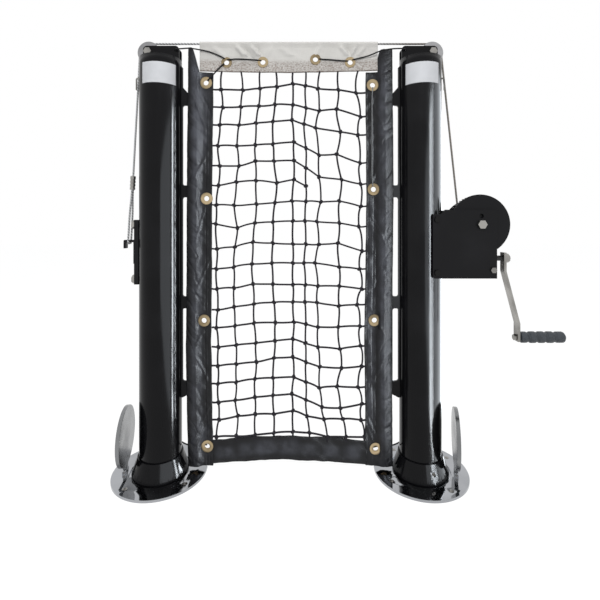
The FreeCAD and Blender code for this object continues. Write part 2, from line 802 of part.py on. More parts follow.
def cable_lean():
    """How far the taut cable leans outward, per unit of its drop, from the anchor sheave to the hook's arm."""
    across = size(f"{BAR_FACE} + HookSeat - SheaveReach")
    drop = size(f"{SHEAVE_LINE} - (HookPlateTop - HookArmThick - SeatGap - CableRadius)")
    turn = math.acos(size(CABLE_BEND) / math.hypot(across, drop)) - math.atan2(drop, across)
    return math.tan(turn)


def anchor_fall(height):
    """X, outward from the anchor post, of the taut cable between sheave and hook at a height."""
    lean = cable_lean()
    bend = size(CABLE_BEND)
    drop = math.hypot(1, lean)
    touch_x = size("SheaveReach") + bend / drop
    touch_z = size(SHEAVE_LINE) + bend * lean / drop
    return touch_x + (touch_z - height) * lean


def winch_tangent():
    """The unit normal of the cable between the winch sheave and the drum, and its two tangent points."""
    start = WINCH.world(size("SheaveReach"), 0, size(SHEAVE_LINE))
    finish = WINCH.world(size("DrumReach"), 0, size("DrumHeight"))
    bend = size(CABLE_BEND)
    wound = size(WINDING_RADIUS)
    across = finish - start
    angle = math.atan2(across.z, across.x) + math.acos((bend + wound) / across.Length)
    normal = V(math.cos(angle), 0, math.sin(angle))
    return normal, start + normal * bend, finish - normal * wound


def net_cable():
    """The cable: up from the ferrule, over both sheaves through the headband, down to the drum and round it."""
    bend = size(CABLE_BEND)
    centre = ANCHOR.world(size("SheaveReach"), 0, size(SHEAVE_LINE))
    normal = V(-1, 0, cable_lean()).normalize()
    low = ANCHOR.world(anchor_fall(size("FerruleTop")), 0, size("FerruleTop"))
    touch = centre + normal * bend
    halfway = centre + (normal + UP).normalize() * bend
    far_normal, far_touch, far_low = winch_tangent()
    far_centre = WINCH.world(size("SheaveReach"), 0, size(SHEAVE_LINE))
    far_halfway = far_centre + (far_normal + UP).normalize() * bend
    edges = [
        Part.LineSegment(low, touch).toShape(),
        Part.Arc(touch, halfway, centre + UP * bend).toShape(),
        Part.LineSegment(centre + UP * bend, far_centre + UP * bend).toShape(),
        Part.Arc(far_centre + UP * bend, far_halfway, far_touch).toShape(),
        Part.LineSegment(far_touch, far_low).toShape(),
    ]
    turns = cable_turns()
    print("cable winding: least gap between turns", round(least_turn_gap(turns, size("CableRadius")), 2))
    add_node("net_cable", shaped("cable_run", swept(edges + turns, size("CableRadius"), sides=6)))


def ferrule_and_loop():
    """The ribbed sleeve pressed on the cable, and the loop that comes out of it and goes under the hook's arm."""
    length = size("FerruleLength")
    ridges = int(size("FerruleRidges"))
    step = length / ridges
    outer = size("FerruleRadius")
    waist = size("FerruleWaist")
    outline = [V(0, 0, 0)]
    for index in range(ridges):
        low = index * step
        outline += [V(outer, 0, low), V(outer, 0, low + 0.7 * step)]
        if index < ridges - 1:
            outline += [V(waist, 0, low + 0.7 * step), V(waist, 0, low + step)]
    outline[-1] = V(outer, 0, length)
    outline += [V(0, 0, length), V(0, 0, 0)]
    turned = Part.Face(Part.makePolygon(outline)).revolve(V(), UP, 360)
    bottom = size("FerruleTop - FerruleLength")
    foot = ANCHOR.world(anchor_fall(bottom), 0, bottom)
    lean = math.degrees(math.atan(cable_lean()))
    ferrule = shaped("ferrule_form", turned)
    ferrule.Placement = FreeCAD.Placement(foot, FreeCAD.Rotation(V(0, 1, 0), lean))
    add_node("cable_ferrule", ferrule)
    radius = size("CableRadius")
    round_off = size("HookArmThick / 2.5")
    bend = round_off + size("SeatGap") + radius
    side = size("HookWidth / 2") + size("SeatGap") + radius
    under = size("HookPlateTop - HookArmThick") - size("SeatGap") - radius
    start = size("LoopStrandGap")
    neck = bottom - 4 * radius
    heights = [(bottom, start), (neck, start), (neck - 12 * radius, side)]
    down = [ANCHOR.world(anchor_fall(z), y, z) for z, y in heights]
    corner = ANCHOR.world(anchor_fall(under), side, under)
    far_corner = V(corner.x, -corner.y, corner.z)
    up = [V(point.x, -point.y, point.z) for point in reversed(down)]
    points = down + [corner, far_corner] + up
    loose = 30 * radius
    loop, radii = tube(points, radius, [loose, loose, bend, bend, loose, loose])
    print("cable loop radii", radii)
    add_node("cable_loop", shaped("loop_form", loop))


def eyelet(name, x, z, half_cloth):
    """A brass eyelet pressed through a cloth."""
    face = f"({half_cloth} + EyeletWall)"
    ring = rod(name + "_ring", "EyeletOuter", "y", (x, f"-{face}", z), f"2 * {face}")
    bore = rod(name + "_bore", "EyeletHole", "y", (x, f"-2 * {face}", z), f"4 * {face}")
    return cut(name + "_pressed", ring, bore)


def eyelet_hole(x, z):
    """The hole in the cloth that an eyelet fills."""
    return rod("eyelet_hole", "EyeletOuter + RunningGap", "y", (x, "-EyeletOuter", z),
               "2 * EyeletOuter")


def side_pocket(end, crown):
    """The vinyl pocket along the net's side: it laps the rail, holds the dowel and ends in a flap with eyelets."""
    title = end.name.capitalize()
    dowel = f"{title}DowelReach"
    flap = f"{title}FlapReach"
    reach = f"{title}EyeletReach"
    lap = "(RailThick / 2 + RailSlack)"
    bottom = "PocketBottom"
    top = f"{title}PocketTop"
    bulge = "(DowelRadius + DowelGap + PocketPly)"
    heights = [f"{title}Eyelet{count}" for count in ("One", "Two", "Three", "Four")]
    body = fuse(
        "pocket_form",
        box("pocket_laps", (f"-{dowel}", "-PocketMouth"), (f"-{lap} - PocketPly", f"{lap} + PocketPly"),
            (bottom, top)),
        rod("pocket_bulge", bulge, "z", (f"-{dowel}", "0", bottom), f"{top} - {bottom}"),
        box("pocket_flap", (f"-{flap}", f"-{dowel}"), ("-FlapThick / 2", "FlapThick / 2"), (bottom, top)),
    )
    outline = new_body("pocket_side")
    side = sketch(outline, "pocket_outline", "XZ_Plane")
    polygon(side, [
        ("-PocketMouth", bottom),
        (f"-{flap}", bottom),
        (f"-{flap}", FLAP_TOP),
        (f"-{dowel} - {bulge}", FLAP_TOP),
    ] + crown)
    pad(outline, "pocket_side_pad", side, f"4 * {bulge}")
    tools = [
        rod("dowel_bore", "DowelRadius + DowelGap", "z", (f"-{dowel}", "0", "DowelBottom - SeatGap"),
            f"{title}DowelTop - DowelBottom + 2 * SeatGap"),
        box("rail_mouth", ("-RailReach - RailPocketDepth", "-PocketMouth / 2"), (f"-{lap}", lap),
            ("0", f"{top} + PocketPly")),
    ]
    for height in heights:
        tools.append(eyelet_hole(f"-{reach}", height))
    pocket_form = cut("side_pocket", common("pocket_trimmed", body, outline), *tools)
    add_node(f"{end.name}_side_pocket", pocket_form, end)
    stick = rod("dowel", "DowelRadius", "z", (f"-{dowel}", "0", "DowelBottom"), f"{title}DowelTop - DowelBottom")
    add_node(f"{end.name}_dowel", gather("dowel_stick", stick), end)
    rings = [eyelet("pocket_eyelet", f"-{reach}", height, "FlapThick / 2") for height in heights]
    add_node(f"{end.name}_pocket_eyelets", gather("pocket_eyelets", *rings), end)


def headband():
    """The canvas band that is folded over the cable and sewn below it, and its eyelets."""
    start = "HeadbandStart"
    length = "PostSpacing - HeadbandStart - HeadbandEnd"
    roll = rod("band_roll", "CableRadius + SeatGap + HeadbandWall", "x", (start, "0", CABLE_LINE), length)
    strap = box("band_strap", (start, f"{start} + {length}"), ("-HeadbandThick / 2", "HeadbandThick / 2"),
                ("HeadbandBottom", CABLE_LINE))
    bore = rod("band_bore", "CableRadius + SeatGap", "x", ("0", "0", CABLE_LINE), "PostSpacing")
    places = [
        ("BandEyeletOneReach", "HeadbandBottom + BandEyeletRise"),
        ("BandEyeletTwoReach", "HeadbandBottom + BandEyeletRise"),
        ("PostSpacing - BandEyeletThreeReach", "HeadbandBottom + BandEyeletFarRise"),
        ("PostSpacing - BandEyeletFourReach", "HeadbandBottom + BandEyeletRise"),
    ]
    holes = [eyelet_hole(x, z) for x, z in places]
    add_node("headband", cut("band_cut", fuse("band", roll, strap), bore, *holes))
    rings = [eyelet("band_eyelet", x, z, "HeadbandThick / 2") for x, z in places]
    add_node("headband_eyelets", gather("band_eyelets", *rings))


def rectangle(low_x, high_x, low_z, high_z, y):
    """A closed rectangular wire in a plane across Y."""
    corners = [V(low_x, y, low_z), V(high_x, y, low_z), V(high_x, y, high_z), V(low_x, y, high_z)]
    return Part.makePolygon(corners + corners[:1])


def net_mesh():
    """The knotted mesh between the pockets, the headband and the bottom band, as one holed sheet."""
    gap = size("SeatGap")
    low_x = size("AnchorFlapReach") + gap
    high_x = size("PostSpacing - WinchFlapReach") - gap
    low_z = size("BandTop") + gap
    high_z = size("HeadbandBottom") - gap
    columns = int(size("MeshColumns"))
    rows = int(size("MeshRows"))
    twine = size("TwineWidth")
    wide = (high_x - low_x) / columns
    tall = (high_z - low_z) / rows
    half = size("MeshThick") / 2
    wires = [rectangle(low_x, high_x, low_z, high_z, -half)]
    for column in range(columns):
        for row in range(rows):
            left = low_x + column * wide
            foot = low_z + row * tall
            inset = twine / 2
            wires.append(rectangle(left + inset, left + wide - inset, foot + inset, foot + tall - inset, -half))
    sheet_of_twine = Part.Face(wires, "Part::FaceMakerBullseye").extrude(V(0, 2 * half, 0))
    add_node("net_mesh", shaped("mesh_form", sheet_of_twine))
    band = box("band_bottom", ("AnchorFlapReach + SeatGap", "PostSpacing - WinchFlapReach - SeatGap"),
               ("-BandThick / 2", "BandThick / 2"), ("BandBottom", "BandTop"))
    add_node("bottom_band", band)


def cord(label, end, level, routes):
    """A lacing cord at one post: each route is a list of points, and its stretches share one node."""
    inward = -1 if end is WINCH else 1
    shapes = []
    for route in routes:
        points = [V(size(end.spot) + inward * x, y, size(level) + z) for x, y, z in route]
        shape, radii = tube(points, size("CordRadius"))
        shapes.append(shape)
        print(label, "radii", radii)
    whole = shapes[0] if len(shapes) == 1 else Part.makeCompound(shapes)
    add_node(label, shaped("cord_form", whole))


# Routes of the lacing cords, chosen by hand. A point lies so far in from its post, away from the viewer, and
# up from the net's height or, for the ties and the side cord, from the floor.
ANCHOR_TOP_ROUTES = [
    [(40, -9, -23), (40, -20, -22.5), (56, -18, -17), (75, -12.5, -8), (96, -8.2, -14), (119, -5.4, -23),
     (144, -4.6, -32), (160, -4.6, -40.5)],
    [(166, -4.6, -44), (186, -4, -41), (212, -3.8, -42.5), (236, -4, -43.5), (252, -4.6, -46)],
    [(159, -4.6, -53), (146, -4.2, -64), (136, -4.2, -76), (125, -4.3, -88), (117, -4.4, -96)],
]
WINCH_TOP_ROUTES = [
    [(40, -9, -23), (40, -20, -22.5), (58, -18.5, -21.5), (75, -15.2, -21), (92, -14, -23),
     (108, -12.4, -27), (126, -7.6, -34), (148, -4.8, -39), (170, -4.6, -44)],
    [(180, -4.6, -47), (202, -3.8, -45.5), (228, -3.8, -43), (254, -4.6, -42)],
]
ANCHOR_TIE_ROUTES = [
    [(114.2, 4.6, 63), (100, 11, 60), (82, 17.5, 56), (66, 21, 52.5), (52, 31, 50.8), (36, 44, 50.1),
     (14, 54.5, 50.1), (-8, 54.6, 50.1)],
]
WINCH_TIE_ROUTES = [
    [(118.8, 4.6, 57), (105, 11, 56), (86, 17.5, 54), (68, 21, 51.6), (52, 31, 50.5), (36, 44, 50.1),
     (14, 54.5, 50.1), (-8, 54.6, 50.1)],
]
WINCH_SIDE_ROUTES = [
    [(119, -4.4, 958), (121.5, -3.9, 930), (120.5, -3.5, 880), (121.2, -3.4, 830), (120.6, -3.4, 780),
     (121.4, -3.9, 735), (119, -4.4, 712)],
]


def lacing():
    cord("anchor_top_lacing", ANCHOR, "NetHeight", ANCHOR_TOP_ROUTES)
    cord("winch_top_lacing", WINCH, "NetHeight", WINCH_TOP_ROUTES)
    cord("anchor_bottom_tie", ANCHOR, "0", ANCHOR_TIE_ROUTES)
    cord("winch_bottom_tie", WINCH, "0", WINCH_TIE_ROUTES)
    cord("winch_side_cord", WINCH, "0", WINCH_SIDE_ROUTES)


def winch_housing():
    """The folded plate box: two sides that clamp the post and a floor between them, and its bolts."""
    body = new_body("housing_body")
    side = sketch(body, "housing_outline", "XZ_Plane")
    low = "(HousingTop - HousingStep)"
    polygon(side, [
        ("HousingNear", "HousingBottom"),
        ("HousingFar", "HousingBottom"),
        ("HousingFar", "HousingTop"),
        ("HousingStepEnd + HousingChamfer", "HousingTop"),
        ("HousingStepEnd", low),
        ("HousingNear", low),
    ])
    block = pad(body, "housing_block", side, f"2 * {HOUSING_FACE}")
    corners = [("HousingNear", "HousingBottom"), ("HousingFar", "HousingTop"), ("HousingNear", low)]
    round_edges(body, "housing_corners", block, corners, "HousingCorner")
    inside = sketch(body, "inside_outline", "XZ_Plane")
    margin = "4 * HousingThick"
    polygon(inside, [
        (f"HousingNear - {margin}", f"HousingBottom - {margin}"),
        ("HousingFloorStart", f"HousingBottom - {margin}"),
        ("HousingFloorStart", "HousingBottom + HousingThick"),
        (f"HousingFar + {margin}", "HousingBottom + HousingThick"),
        (f"HousingFar + {margin}", f"HousingTop + {margin}"),
        (f"HousingNear - {margin}", f"HousingTop + {margin}"),
    ])
    pocket(body, "housing_inside", inside, f"2 * ({HOUSING_FACE} - HousingThick)")
    holes = sketch(body, "housing_holes", "XZ_Plane")
    circle(holes, "DrumReach", "DrumHeight", "DrumAxleRadius + RunningGap")
    circle(holes, "DrumReach", "DrumHeight + HousingHoleRise", "HousingHoleRadius")
    for x, z in winch_bolt_places():
        circle(holes, x, z, "ClampBoltRadius + RunningGap")
    pocket(body, "housing_drilled", holes, f"4 * {HOUSING_FACE}")
    add_node("winch_housing", body, WINCH)
    bolts = []
    for x, z in winch_bolt_places():
        shank = rod("bolt_shank", "ClampBoltRadius", "y", (x, f"-{HOUSING_FACE}", z), f"2 * {HOUSING_FACE}")
        front = hexagon("bolt_head", "BoltHexWidth", "y", (x, f"-{HOUSING_FACE} - BoltHexThick", z),
                        "BoltHexThick")
        back = hexagon("bolt_nut", "BoltHexWidth", "y", (x, HOUSING_FACE, z), "BoltHexThick")
        bolts.append(fuse("winch_bolt", shank, front, back))
    add_node("winch_bolts", gather("housing_bolts", *bolts), WINCH)


def winch_bolt_places():
    return [("ClampBoltReach", "ClampBoltLow"), ("ClampBoltReach", "ClampBoltHigh"),
            ("SpacerBoltReach", "SpacerBoltHeight")]


def drum_axle():
    start = ("DrumReach", f"-{HOUSING_FACE}", "DrumHeight")
    shank = rod("drum_axle_shank", "DrumAxleRadius", "y", start, f"2 * {HOUSING_FACE}")
    front = hexagon("drum_axle_head", "DrumAxleHexWidth", "y",
                    ("DrumReach", f"-{HOUSING_FACE} - DrumAxleHexThick", "DrumHeight"), "DrumAxleHexThick")
    back = hexagon("drum_axle_nut", "DrumAxleHexWidth", "y", ("DrumReach", HOUSING_FACE, "DrumHeight"),
                   "DrumAxleHexThick")
    add_node("drum_axle", fuse("axle_of_drum", shank, front, back), WINCH)


def guard_and_drum():
    """The turning unit on the axle: guard disc, worm wheel and drum, each bored to run on the axle."""
    bore = "(DrumAxleRadius + RunningGap)"
    guard = new_body("guard_body")
    profile = sketch(guard, "guard_profile", "XY_Plane")
    polygon(profile, [
        (bore, "GuardFront"),
        ("GuardRadius", "GuardFront"),
        ("GuardRadius", "GuardFront + GuardThick"),
        ("GuardHub", "GuardFront + GuardThick"),
        ("GuardHub", "WheelFront"),
        (bore, "WheelFront"),
    ])
    revolve(guard, "guard_turned", profile)
    put(guard, "DrumReach", "0", "DrumHeight")
    add_node("gear_guard", gather("guard_on_axle", guard), WINCH)
    drum = new_body("drum_body")
    profile = sketch(drum, "drum_profile", "XY_Plane")
    front = "(WheelFront + WheelThick)"
    polygon(profile, [
        (bore, front),
        ("DrumRadius", front),
        ("DrumRadius", "DrumBack"),
        ("FlangeRadius", "DrumBack"),
        ("FlangeRadius", "DrumBack + FlangeThick"),
        ("GuardHub", "DrumBack + FlangeThick"),
        ("GuardHub", f"{HOUSING_FACE} - HousingThick - 10 * SeatGap"),
        (bore, f"{HOUSING_FACE} - HousingThick - 10 * SeatGap"),
    ])
    revolve(drum, "drum_turned", profile)
    put(drum, "DrumReach", "0", "DrumHeight")
    add_node("drum", gather("drum_on_axle", drum), WINCH)


def worm_wheel():
    """The worm wheel: straight teeth with flanks that lean 20 degrees, one gap centred straight down."""
    teeth = int(size("WheelTeeth"))
    module = size("WheelModule")
    pitch = size(WHEEL_RADIUS)
    outer = pitch + module
    root = pitch - 1.2 * module
    lean = math.tan(math.radians(20))
    half = size("WheelToothThick") / 2
    tip = half - module * lean
    foot = half + 1.2 * module * lean
    corners = []
    for tooth in range(teeth):
        middle = math.radians(-90) + 2 * math.pi * (tooth + 0.5) / teeth
        for radius, reach in ((root, -foot), (outer, -tip), (outer, tip), (root, foot)):
            angle = middle + reach / radius
            corners.append(V(radius * math.cos(angle), 0, radius * math.sin(angle)))
    outline = Part.makePolygon(corners + corners[:1])
    bore = Part.Wire([Part.Circle(V(), V(0, 1, 0), size("DrumAxleRadius + RunningGap")).toShape()])
    wheel = Part.Face([outline, bore], "Part::FaceMakerBullseye").extrude(V(0, size("WheelThick"), 0))
    item = shaped("wheel_form", wheel)
    put(item, "DrumReach", "WheelFront", "DrumHeight")
    add_node("worm_wheel", gather("wheel_on_axle", item), WINCH)


def biarc(start, heading, finish, parting):
    """Two arcs that join smoothly and leave start along heading and reach finish along parting."""
    across = finish - start
    both = heading + parting
    turn = 2 * (1 - heading.dot(parting))
    lean = across.dot(both)
    reach = (math.sqrt(lean ** 2 + turn * across.dot(across)) - lean) / turn
    joint = (start + finish) * 0.5 + (heading - parting) * (reach / 2)
    return [arc_from(start, heading, joint), arc_from(finish, parting * -1, joint, True)]


def arc_from(start, heading, finish, backwards=False):
    """The arc that leaves start along heading and ends at finish."""
    chord = finish - start
    along = V(chord).normalize()
    rise = (heading - along * heading.dot(along)).normalize()
    sagitta = chord.Length / 2 * math.tan(heading.getAngle(along) / 2)
    middle = start + chord * 0.5 + rise * sagitta
    if backwards:
        return Part.Arc(finish, middle, start).toShape()
    return Part.Arc(start, middle, finish).toShape()


def cable_turns():
    """The path of the cable's outer layer on the drum: quarter turns that step towards the worm wheel."""
    normal, touch, low = winch_tangent()
    radius = size(WINDING_RADIUS)
    pitch = size("WindingPitch")
    centre = WINCH.world(size("DrumReach"), 0, size("DrumHeight"))
    quarters = int(size("WindingQuarters"))
    begin = math.atan2(-normal.z, -normal.x)

    def station(quarter):
        angle = begin + quarter * math.pi / 2
        point = centre + V(radius * math.cos(angle), -pitch * quarter / 4, radius * math.sin(angle))
        drift = 0 if quarter in (0, quarters) else -pitch / (2 * math.pi * radius)
        return point, V(-math.sin(angle), drift, math.cos(angle)).normalize()

    edges = []
    for quarter in range(quarters):
        start, heading = station(quarter)
        finish, parting = station(quarter + 1)
        edges += biarc(start, heading, finish, parting)
    return edges


def least_turn_gap(edges, radius):
    """The least gap between two turns, measured on points along the path."""
    points = []
    for edge in edges:
        points += edge.discretize(7)[:-1]
    skip = len(points) // (len(edges) // 8) // 2
    least = min(first.distanceToPoint(other)
                for index, first in enumerate(points)
                for other in points[index + skip:])
    return least - 2 * radius


def worm_shaft():
    """The crank's shaft with the worm's single right-hand thread, which fits the wheel's gaps."""
    body = new_body("shaft_body")
    outline = sketch(body, "shaft_section", "YZ_Plane", "BearingInner - 2")
    circle(outline, "ShaftPlane", SHAFT_LINE, "ShaftRadius")
    pad(body, "shaft", outline, "CrankReach + CrankThick + CrankNutThick + 2 - BearingInner + 2", both=False)
    root = sketch(body, "worm_root", "YZ_Plane", "DrumReach - WormLength / 2")
    circle(root, "ShaftPlane", SHAFT_LINE, "WormPitchRadius - 1.2 * WheelModule")
    pad(body, "worm_core", root, "WormLength", both=False)
    doc.recompute()
    threaded = body.Shape.fuse(worm_thread())
    add_node("worm_shaft", shaped("worm_with_thread", threaded), WINCH)


def worm_thread():
    """The thread as a closed solid round the worm's core, its crest straight up at the wheel's middle."""
    module = size("WheelModule")
    pitch = math.pi * module
    radius = size("WormPitchRadius")
    inner = radius - 1.2 * module - size("WormThreadTuck")
    outer = radius + module
    lean = math.tan(math.radians(20))
    half = size("WormThreadThick") / 2
    tip = half - module * lean
    foot = half + (radius - inner) * lean
    centre = V(size("DrumReach"), size("ShaftPlane"), size(SHAFT_LINE))
    turns = int(size("WormThreadTurns"))
    steps = 10
    rings = []
    for step in range(turns * steps + 1):
        along = (step / steps - turns / 2) * pitch
        angle = 2 * math.pi * step / steps
        out = V(0, -math.sin(angle), math.cos(angle))
        middle = centre + V(along, 0, 0)
        rings.append([middle + out * inner + V(-foot, 0, 0), middle + out * outer + V(-tip, 0, 0),
                      middle + out * outer + V(tip, 0, 0), middle + out * inner + V(foot, 0, 0)])
    faces = [Part.Face(Part.makePolygon(ring + ring[:1])) for ring in (rings[0], rings[-1])]
    for one, other in zip(rings, rings[1:]):
        for index in range(4):
            following = (index + 1) % 4
            quad = [one[index], one[following], other[following], other[index]]
            for corners in ((quad[0], quad[1], quad[2]), (quad[0], quad[2], quad[3])):
                faces.append(Part.Face(Part.makePolygon([*corners, corners[0]])))
    return Part.Solid(Part.Shell(faces))


def worm_bearings():
    """Two blocks that stand on the housing's floor and carry the shaft."""
    blocks = []
    for start in ("BearingInner", "BearingOuter"):
        half = "BearingWidth / 2"
        block = box("bearing_block", (start, f"{start} + BearingThick"),
                    (f"ShaftPlane - {half}", f"ShaftPlane + {half}"),
                    ("HousingBottom + HousingThick", f"{SHAFT_LINE} + ShaftRadius + BearingTopGap"))
        bore = rod("bearing_bore", "ShaftRadius + RunningGap", "x", (f"{start} - BearingThick", "ShaftPlane", SHAFT_LINE),
                   "3 * BearingThick")
        through = rod("bearing_bolt_hole", "ClampBoltRadius + RunningGap", "y",
                      ("SpacerBoltReach", "ShaftPlane - BearingWidth", "SpacerBoltHeight"), "2 * BearingWidth")
        blocks.append(cut("bearing", block, bore, through))
    add_node("worm_bearings", gather("bearing_blocks", *blocks), WINCH)


def crank():
    """The flat arm on the shaft, cranked outward at its middle, with its nut, the grip's bolt and the grip."""
    body = new_body("arm_body")
    side = sketch(body, "arm_outline", "XZ_Plane", "-ShaftPlane")
    out = "(CrankReach + CrankOffset)"
    polygon(side, [
        ("CrankReach", f"{SHAFT_LINE} + CrankTop"),
        ("CrankReach", f"{SHAFT_LINE} - CrankStraight"),
        (out, f"{SHAFT_LINE} - CrankFoot"),
        (out, f"{SHAFT_LINE} - CrankEnd"),
        (f"{out} + CrankThick", f"{SHAFT_LINE} - CrankEnd"),
        (f"{out} + CrankThick", f"{SHAFT_LINE} - CrankFoot"),
        ("CrankReach + CrankThick", f"{SHAFT_LINE} - CrankStraight"),
        ("CrankReach + CrankThick", f"{SHAFT_LINE} + CrankTop"),
    ])
    pad(body, "arm_bar", side, "CrankWidth")
    holes = [
        rod("hub_hole", "ShaftRadius + RunningGap", "x", ("CrankReach / 2", "ShaftPlane", SHAFT_LINE), "CrankReach"),
        rod("grip_hole", "GripBoltRadius + RunningGap", "x",
            ("CrankReach / 2", "ShaftPlane", f"{SHAFT_LINE} - CrankRadius"), "2 * CrankReach"),
    ]
    add_node("crank_arm", cut("arm_drilled", body, *holes), WINCH)
    nut = hexagon("nut_blank", "CrankNutWidth", "x", ("CrankReach + CrankThick", "ShaftPlane", SHAFT_LINE),
                  "CrankNutThick")
    nut_bore = rod("nut_bore", "ShaftRadius + RunningGap", "x", ("CrankReach", "ShaftPlane", SHAFT_LINE),
                   "CrankReach")
    add_node("crank_nut", cut("crank_nut_bored", nut, nut_bore), WINCH)
    line = f"{SHAFT_LINE} - CrankRadius"
    head_start = f"{out} - CrankThick"
    shank = rod("grip_shank", "GripBoltRadius", "x", (head_start, "ShaftPlane", line),
                f"{out} + CrankThick + GripStart + GripLength + SeatGap - ({head_start})")
    inner = hexagon("grip_head", "BoltHexWidth", "x", (head_start, "ShaftPlane", line), "CrankThick")
    outer = rod("grip_cap", "GripRadius / 2", "x",
                (f"{out} + CrankThick + GripStart + GripLength + SeatGap", "ShaftPlane", line), "CrankThick / 2")
    add_node("grip_bolt", fuse("bolt_of_grip", shank, inner, outer), WINCH)
    grip(f"{out} + CrankThick + GripStart", line)


def grip(start, line):
    """The ribbed grip that spins on its bolt."""
    body = new_body("grip_body")
    profile = sketch(body, "grip_profile", "XZ_Plane")
    rings = int(size("GripRings"))
    step = f"GripLength / {rings}"
    bore = "GripBoltRadius + RunningGap"
    points = [("0", bore)]
    for ring in range(rings):
        low = f"{ring} * {step}"
        high = f"{ring + 0.8} * {step}" if ring < rings - 1 else "GripLength"
        points += [(low, "GripRadius"), (high, "GripRadius")]
        if ring < rings - 1:
            points += [(high, "GripRadius - GripGroove"), (f"{ring + 1} * {step}", "GripRadius - GripGroove")]
    points.append(("GripLength", bore))
    polygon(profile, points)
    revolve(body, "grip_turned", profile, "H_Axis")
    put(body, start, "ShaftPlane", line)
    add_node("crank_grip", gather("grip_on_bolt", body), WINCH)


def build():
    fill_sheet()
    for end, turn, screw in ((ANCHOR, "AnchorPlateTurn", "-90"), (WINCH, "WinchPlateTurn", "-76")):
        floor_sleeve(end)
        floor_plate(end, turn)
        floor_lid(end, turn)
        post(end)
        collar(end, screw)
        head(end)
        sheave(end)
        lacing_rail(end)
        label_patch(end)
        finger_hook(end)
    cable_hook()
    net_cable()
    ferrule_and_loop()
    peak = "AnchorPocketTop"
    side_pocket(ANCHOR, [("-PocketMouth - 12", peak), ("-PocketMouth - 3", peak),
                         ("-PocketMouth", f"{peak} - 8")])
    top = "WinchPocketTop"
    side_pocket(WINCH, [("-HeadbandEnd + SeatGap", f"{top} - 6"), ("-HeadbandEnd + 6", top),
                        ("-PocketMouth - 3", top), ("-PocketMouth", f"{top} - 6")])
    headband()
    net_mesh()
    lacing()
    winch_housing()
    drum_axle()
    guard_and_drum()
    worm_wheel()
    worm_bearings()
    worm_shaft()
    crank()
    doc.recompute()


def check():
    """Every object is up to date, and every piece has a valid solid."""
    for item in doc.Objects:
        if "Invalid" in item.State or "Error" in item.State:
            raise RuntimeError(f"{item.Label} failed: {item.State}")
    for item in nodes:
        shape = item.Shape
        if shape.isNull() or not shape.isValid() or not shape.Solids:
            raise RuntimeError(f"{item.Label} has no valid solid")


def write():
    os.makedirs("parts", exist_ok=True)
    for item in nodes:
        item.Shape.exportStep(f"parts/{item.Label}.step")
    print(len(nodes), "pieces")


build()
check()
write()
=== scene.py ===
"""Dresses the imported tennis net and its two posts: finishes, cloth, cords, mesh, lamps and camera.

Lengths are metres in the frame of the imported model: the origin on the floor at the anchor post's axis,
+X along the net to the winch post, +Y away from the viewer and +Z up.
"""

from __future__ import annotations

import json
import logging
import math
import random
from dataclasses import dataclass
from enum import Enum
from functools import lru_cache, partial
from typing import Callable, Iterable, Sequence

import bmesh
import bpy
from mathutils import Matrix, Vector, noise

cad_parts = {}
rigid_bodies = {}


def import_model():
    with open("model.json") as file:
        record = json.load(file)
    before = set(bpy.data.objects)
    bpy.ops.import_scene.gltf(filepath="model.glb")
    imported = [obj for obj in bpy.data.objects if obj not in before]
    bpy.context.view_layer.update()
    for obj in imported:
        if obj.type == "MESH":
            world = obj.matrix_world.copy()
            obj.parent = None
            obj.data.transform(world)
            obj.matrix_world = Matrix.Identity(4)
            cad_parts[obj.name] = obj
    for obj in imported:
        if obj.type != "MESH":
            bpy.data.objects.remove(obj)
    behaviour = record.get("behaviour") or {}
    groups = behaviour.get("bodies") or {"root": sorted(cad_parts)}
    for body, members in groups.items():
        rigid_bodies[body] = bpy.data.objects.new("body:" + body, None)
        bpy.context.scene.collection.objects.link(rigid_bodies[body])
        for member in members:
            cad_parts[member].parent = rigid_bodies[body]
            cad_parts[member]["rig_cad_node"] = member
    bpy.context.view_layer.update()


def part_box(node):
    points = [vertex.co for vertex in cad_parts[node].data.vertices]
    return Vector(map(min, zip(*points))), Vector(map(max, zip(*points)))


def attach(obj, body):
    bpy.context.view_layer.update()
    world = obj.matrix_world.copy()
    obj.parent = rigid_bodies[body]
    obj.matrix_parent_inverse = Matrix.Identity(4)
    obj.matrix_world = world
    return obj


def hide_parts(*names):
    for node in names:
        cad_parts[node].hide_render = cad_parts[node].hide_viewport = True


LOG = logging.getLogger("tennis_net")
MM = 0.001
Point = tuple[float, float, float]
Colour = tuple[float, float, float]
Pair = tuple[float, float]
Route = Sequence[Sequence[float]]
Form = bmesh.types.BMesh
Socket = bpy.types.NodeSocket
Tint = Colour | Socket
EVEN = (1, 1, 1)
NET = "net_and_posts"
FLOOR = "floor_anchors"
OWN = ""


class Photo:
    """Turns a pixel of the photograph into a point of a plane that faces the camera."""

    PIXELS = 600.0
    FOCAL = 400.0
    DISTANCE = 1.0
    HORIZON_ROW = 219.0
    EYE_HEIGHT = 0.630
    EYE_COLUMN = 300.1
    EYE_X = 0.34775

    @classmethod
    def at(cls, column: float, row: float, depth: float = 0.0) -> Vector:
        """The point seen at a pixel, in the plane at a depth behind the net's own plane.

        Args:
            column: Pixel column.
            row: Pixel row.
            depth: Y of the plane, in metres.

        Returns:
            The point, in metres.
        """
        scale = (cls.DISTANCE + depth) / cls.FOCAL
        x = cls.EYE_X + (column - cls.EYE_COLUMN) * scale
        z = cls.EYE_HEIGHT - (row - cls.HORIZON_ROW) * scale
        return Vector((x, depth, z))


@lru_cache(maxsize=None)
def packed_box(node: str) -> tuple[Vector, Vector]:
    """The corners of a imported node's box, read once.

    Args:
        node: The node's name.

    Returns:
        Its lowest and highest corner, in metres.
    """
    low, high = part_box(node)
    return Vector(low), Vector(high)


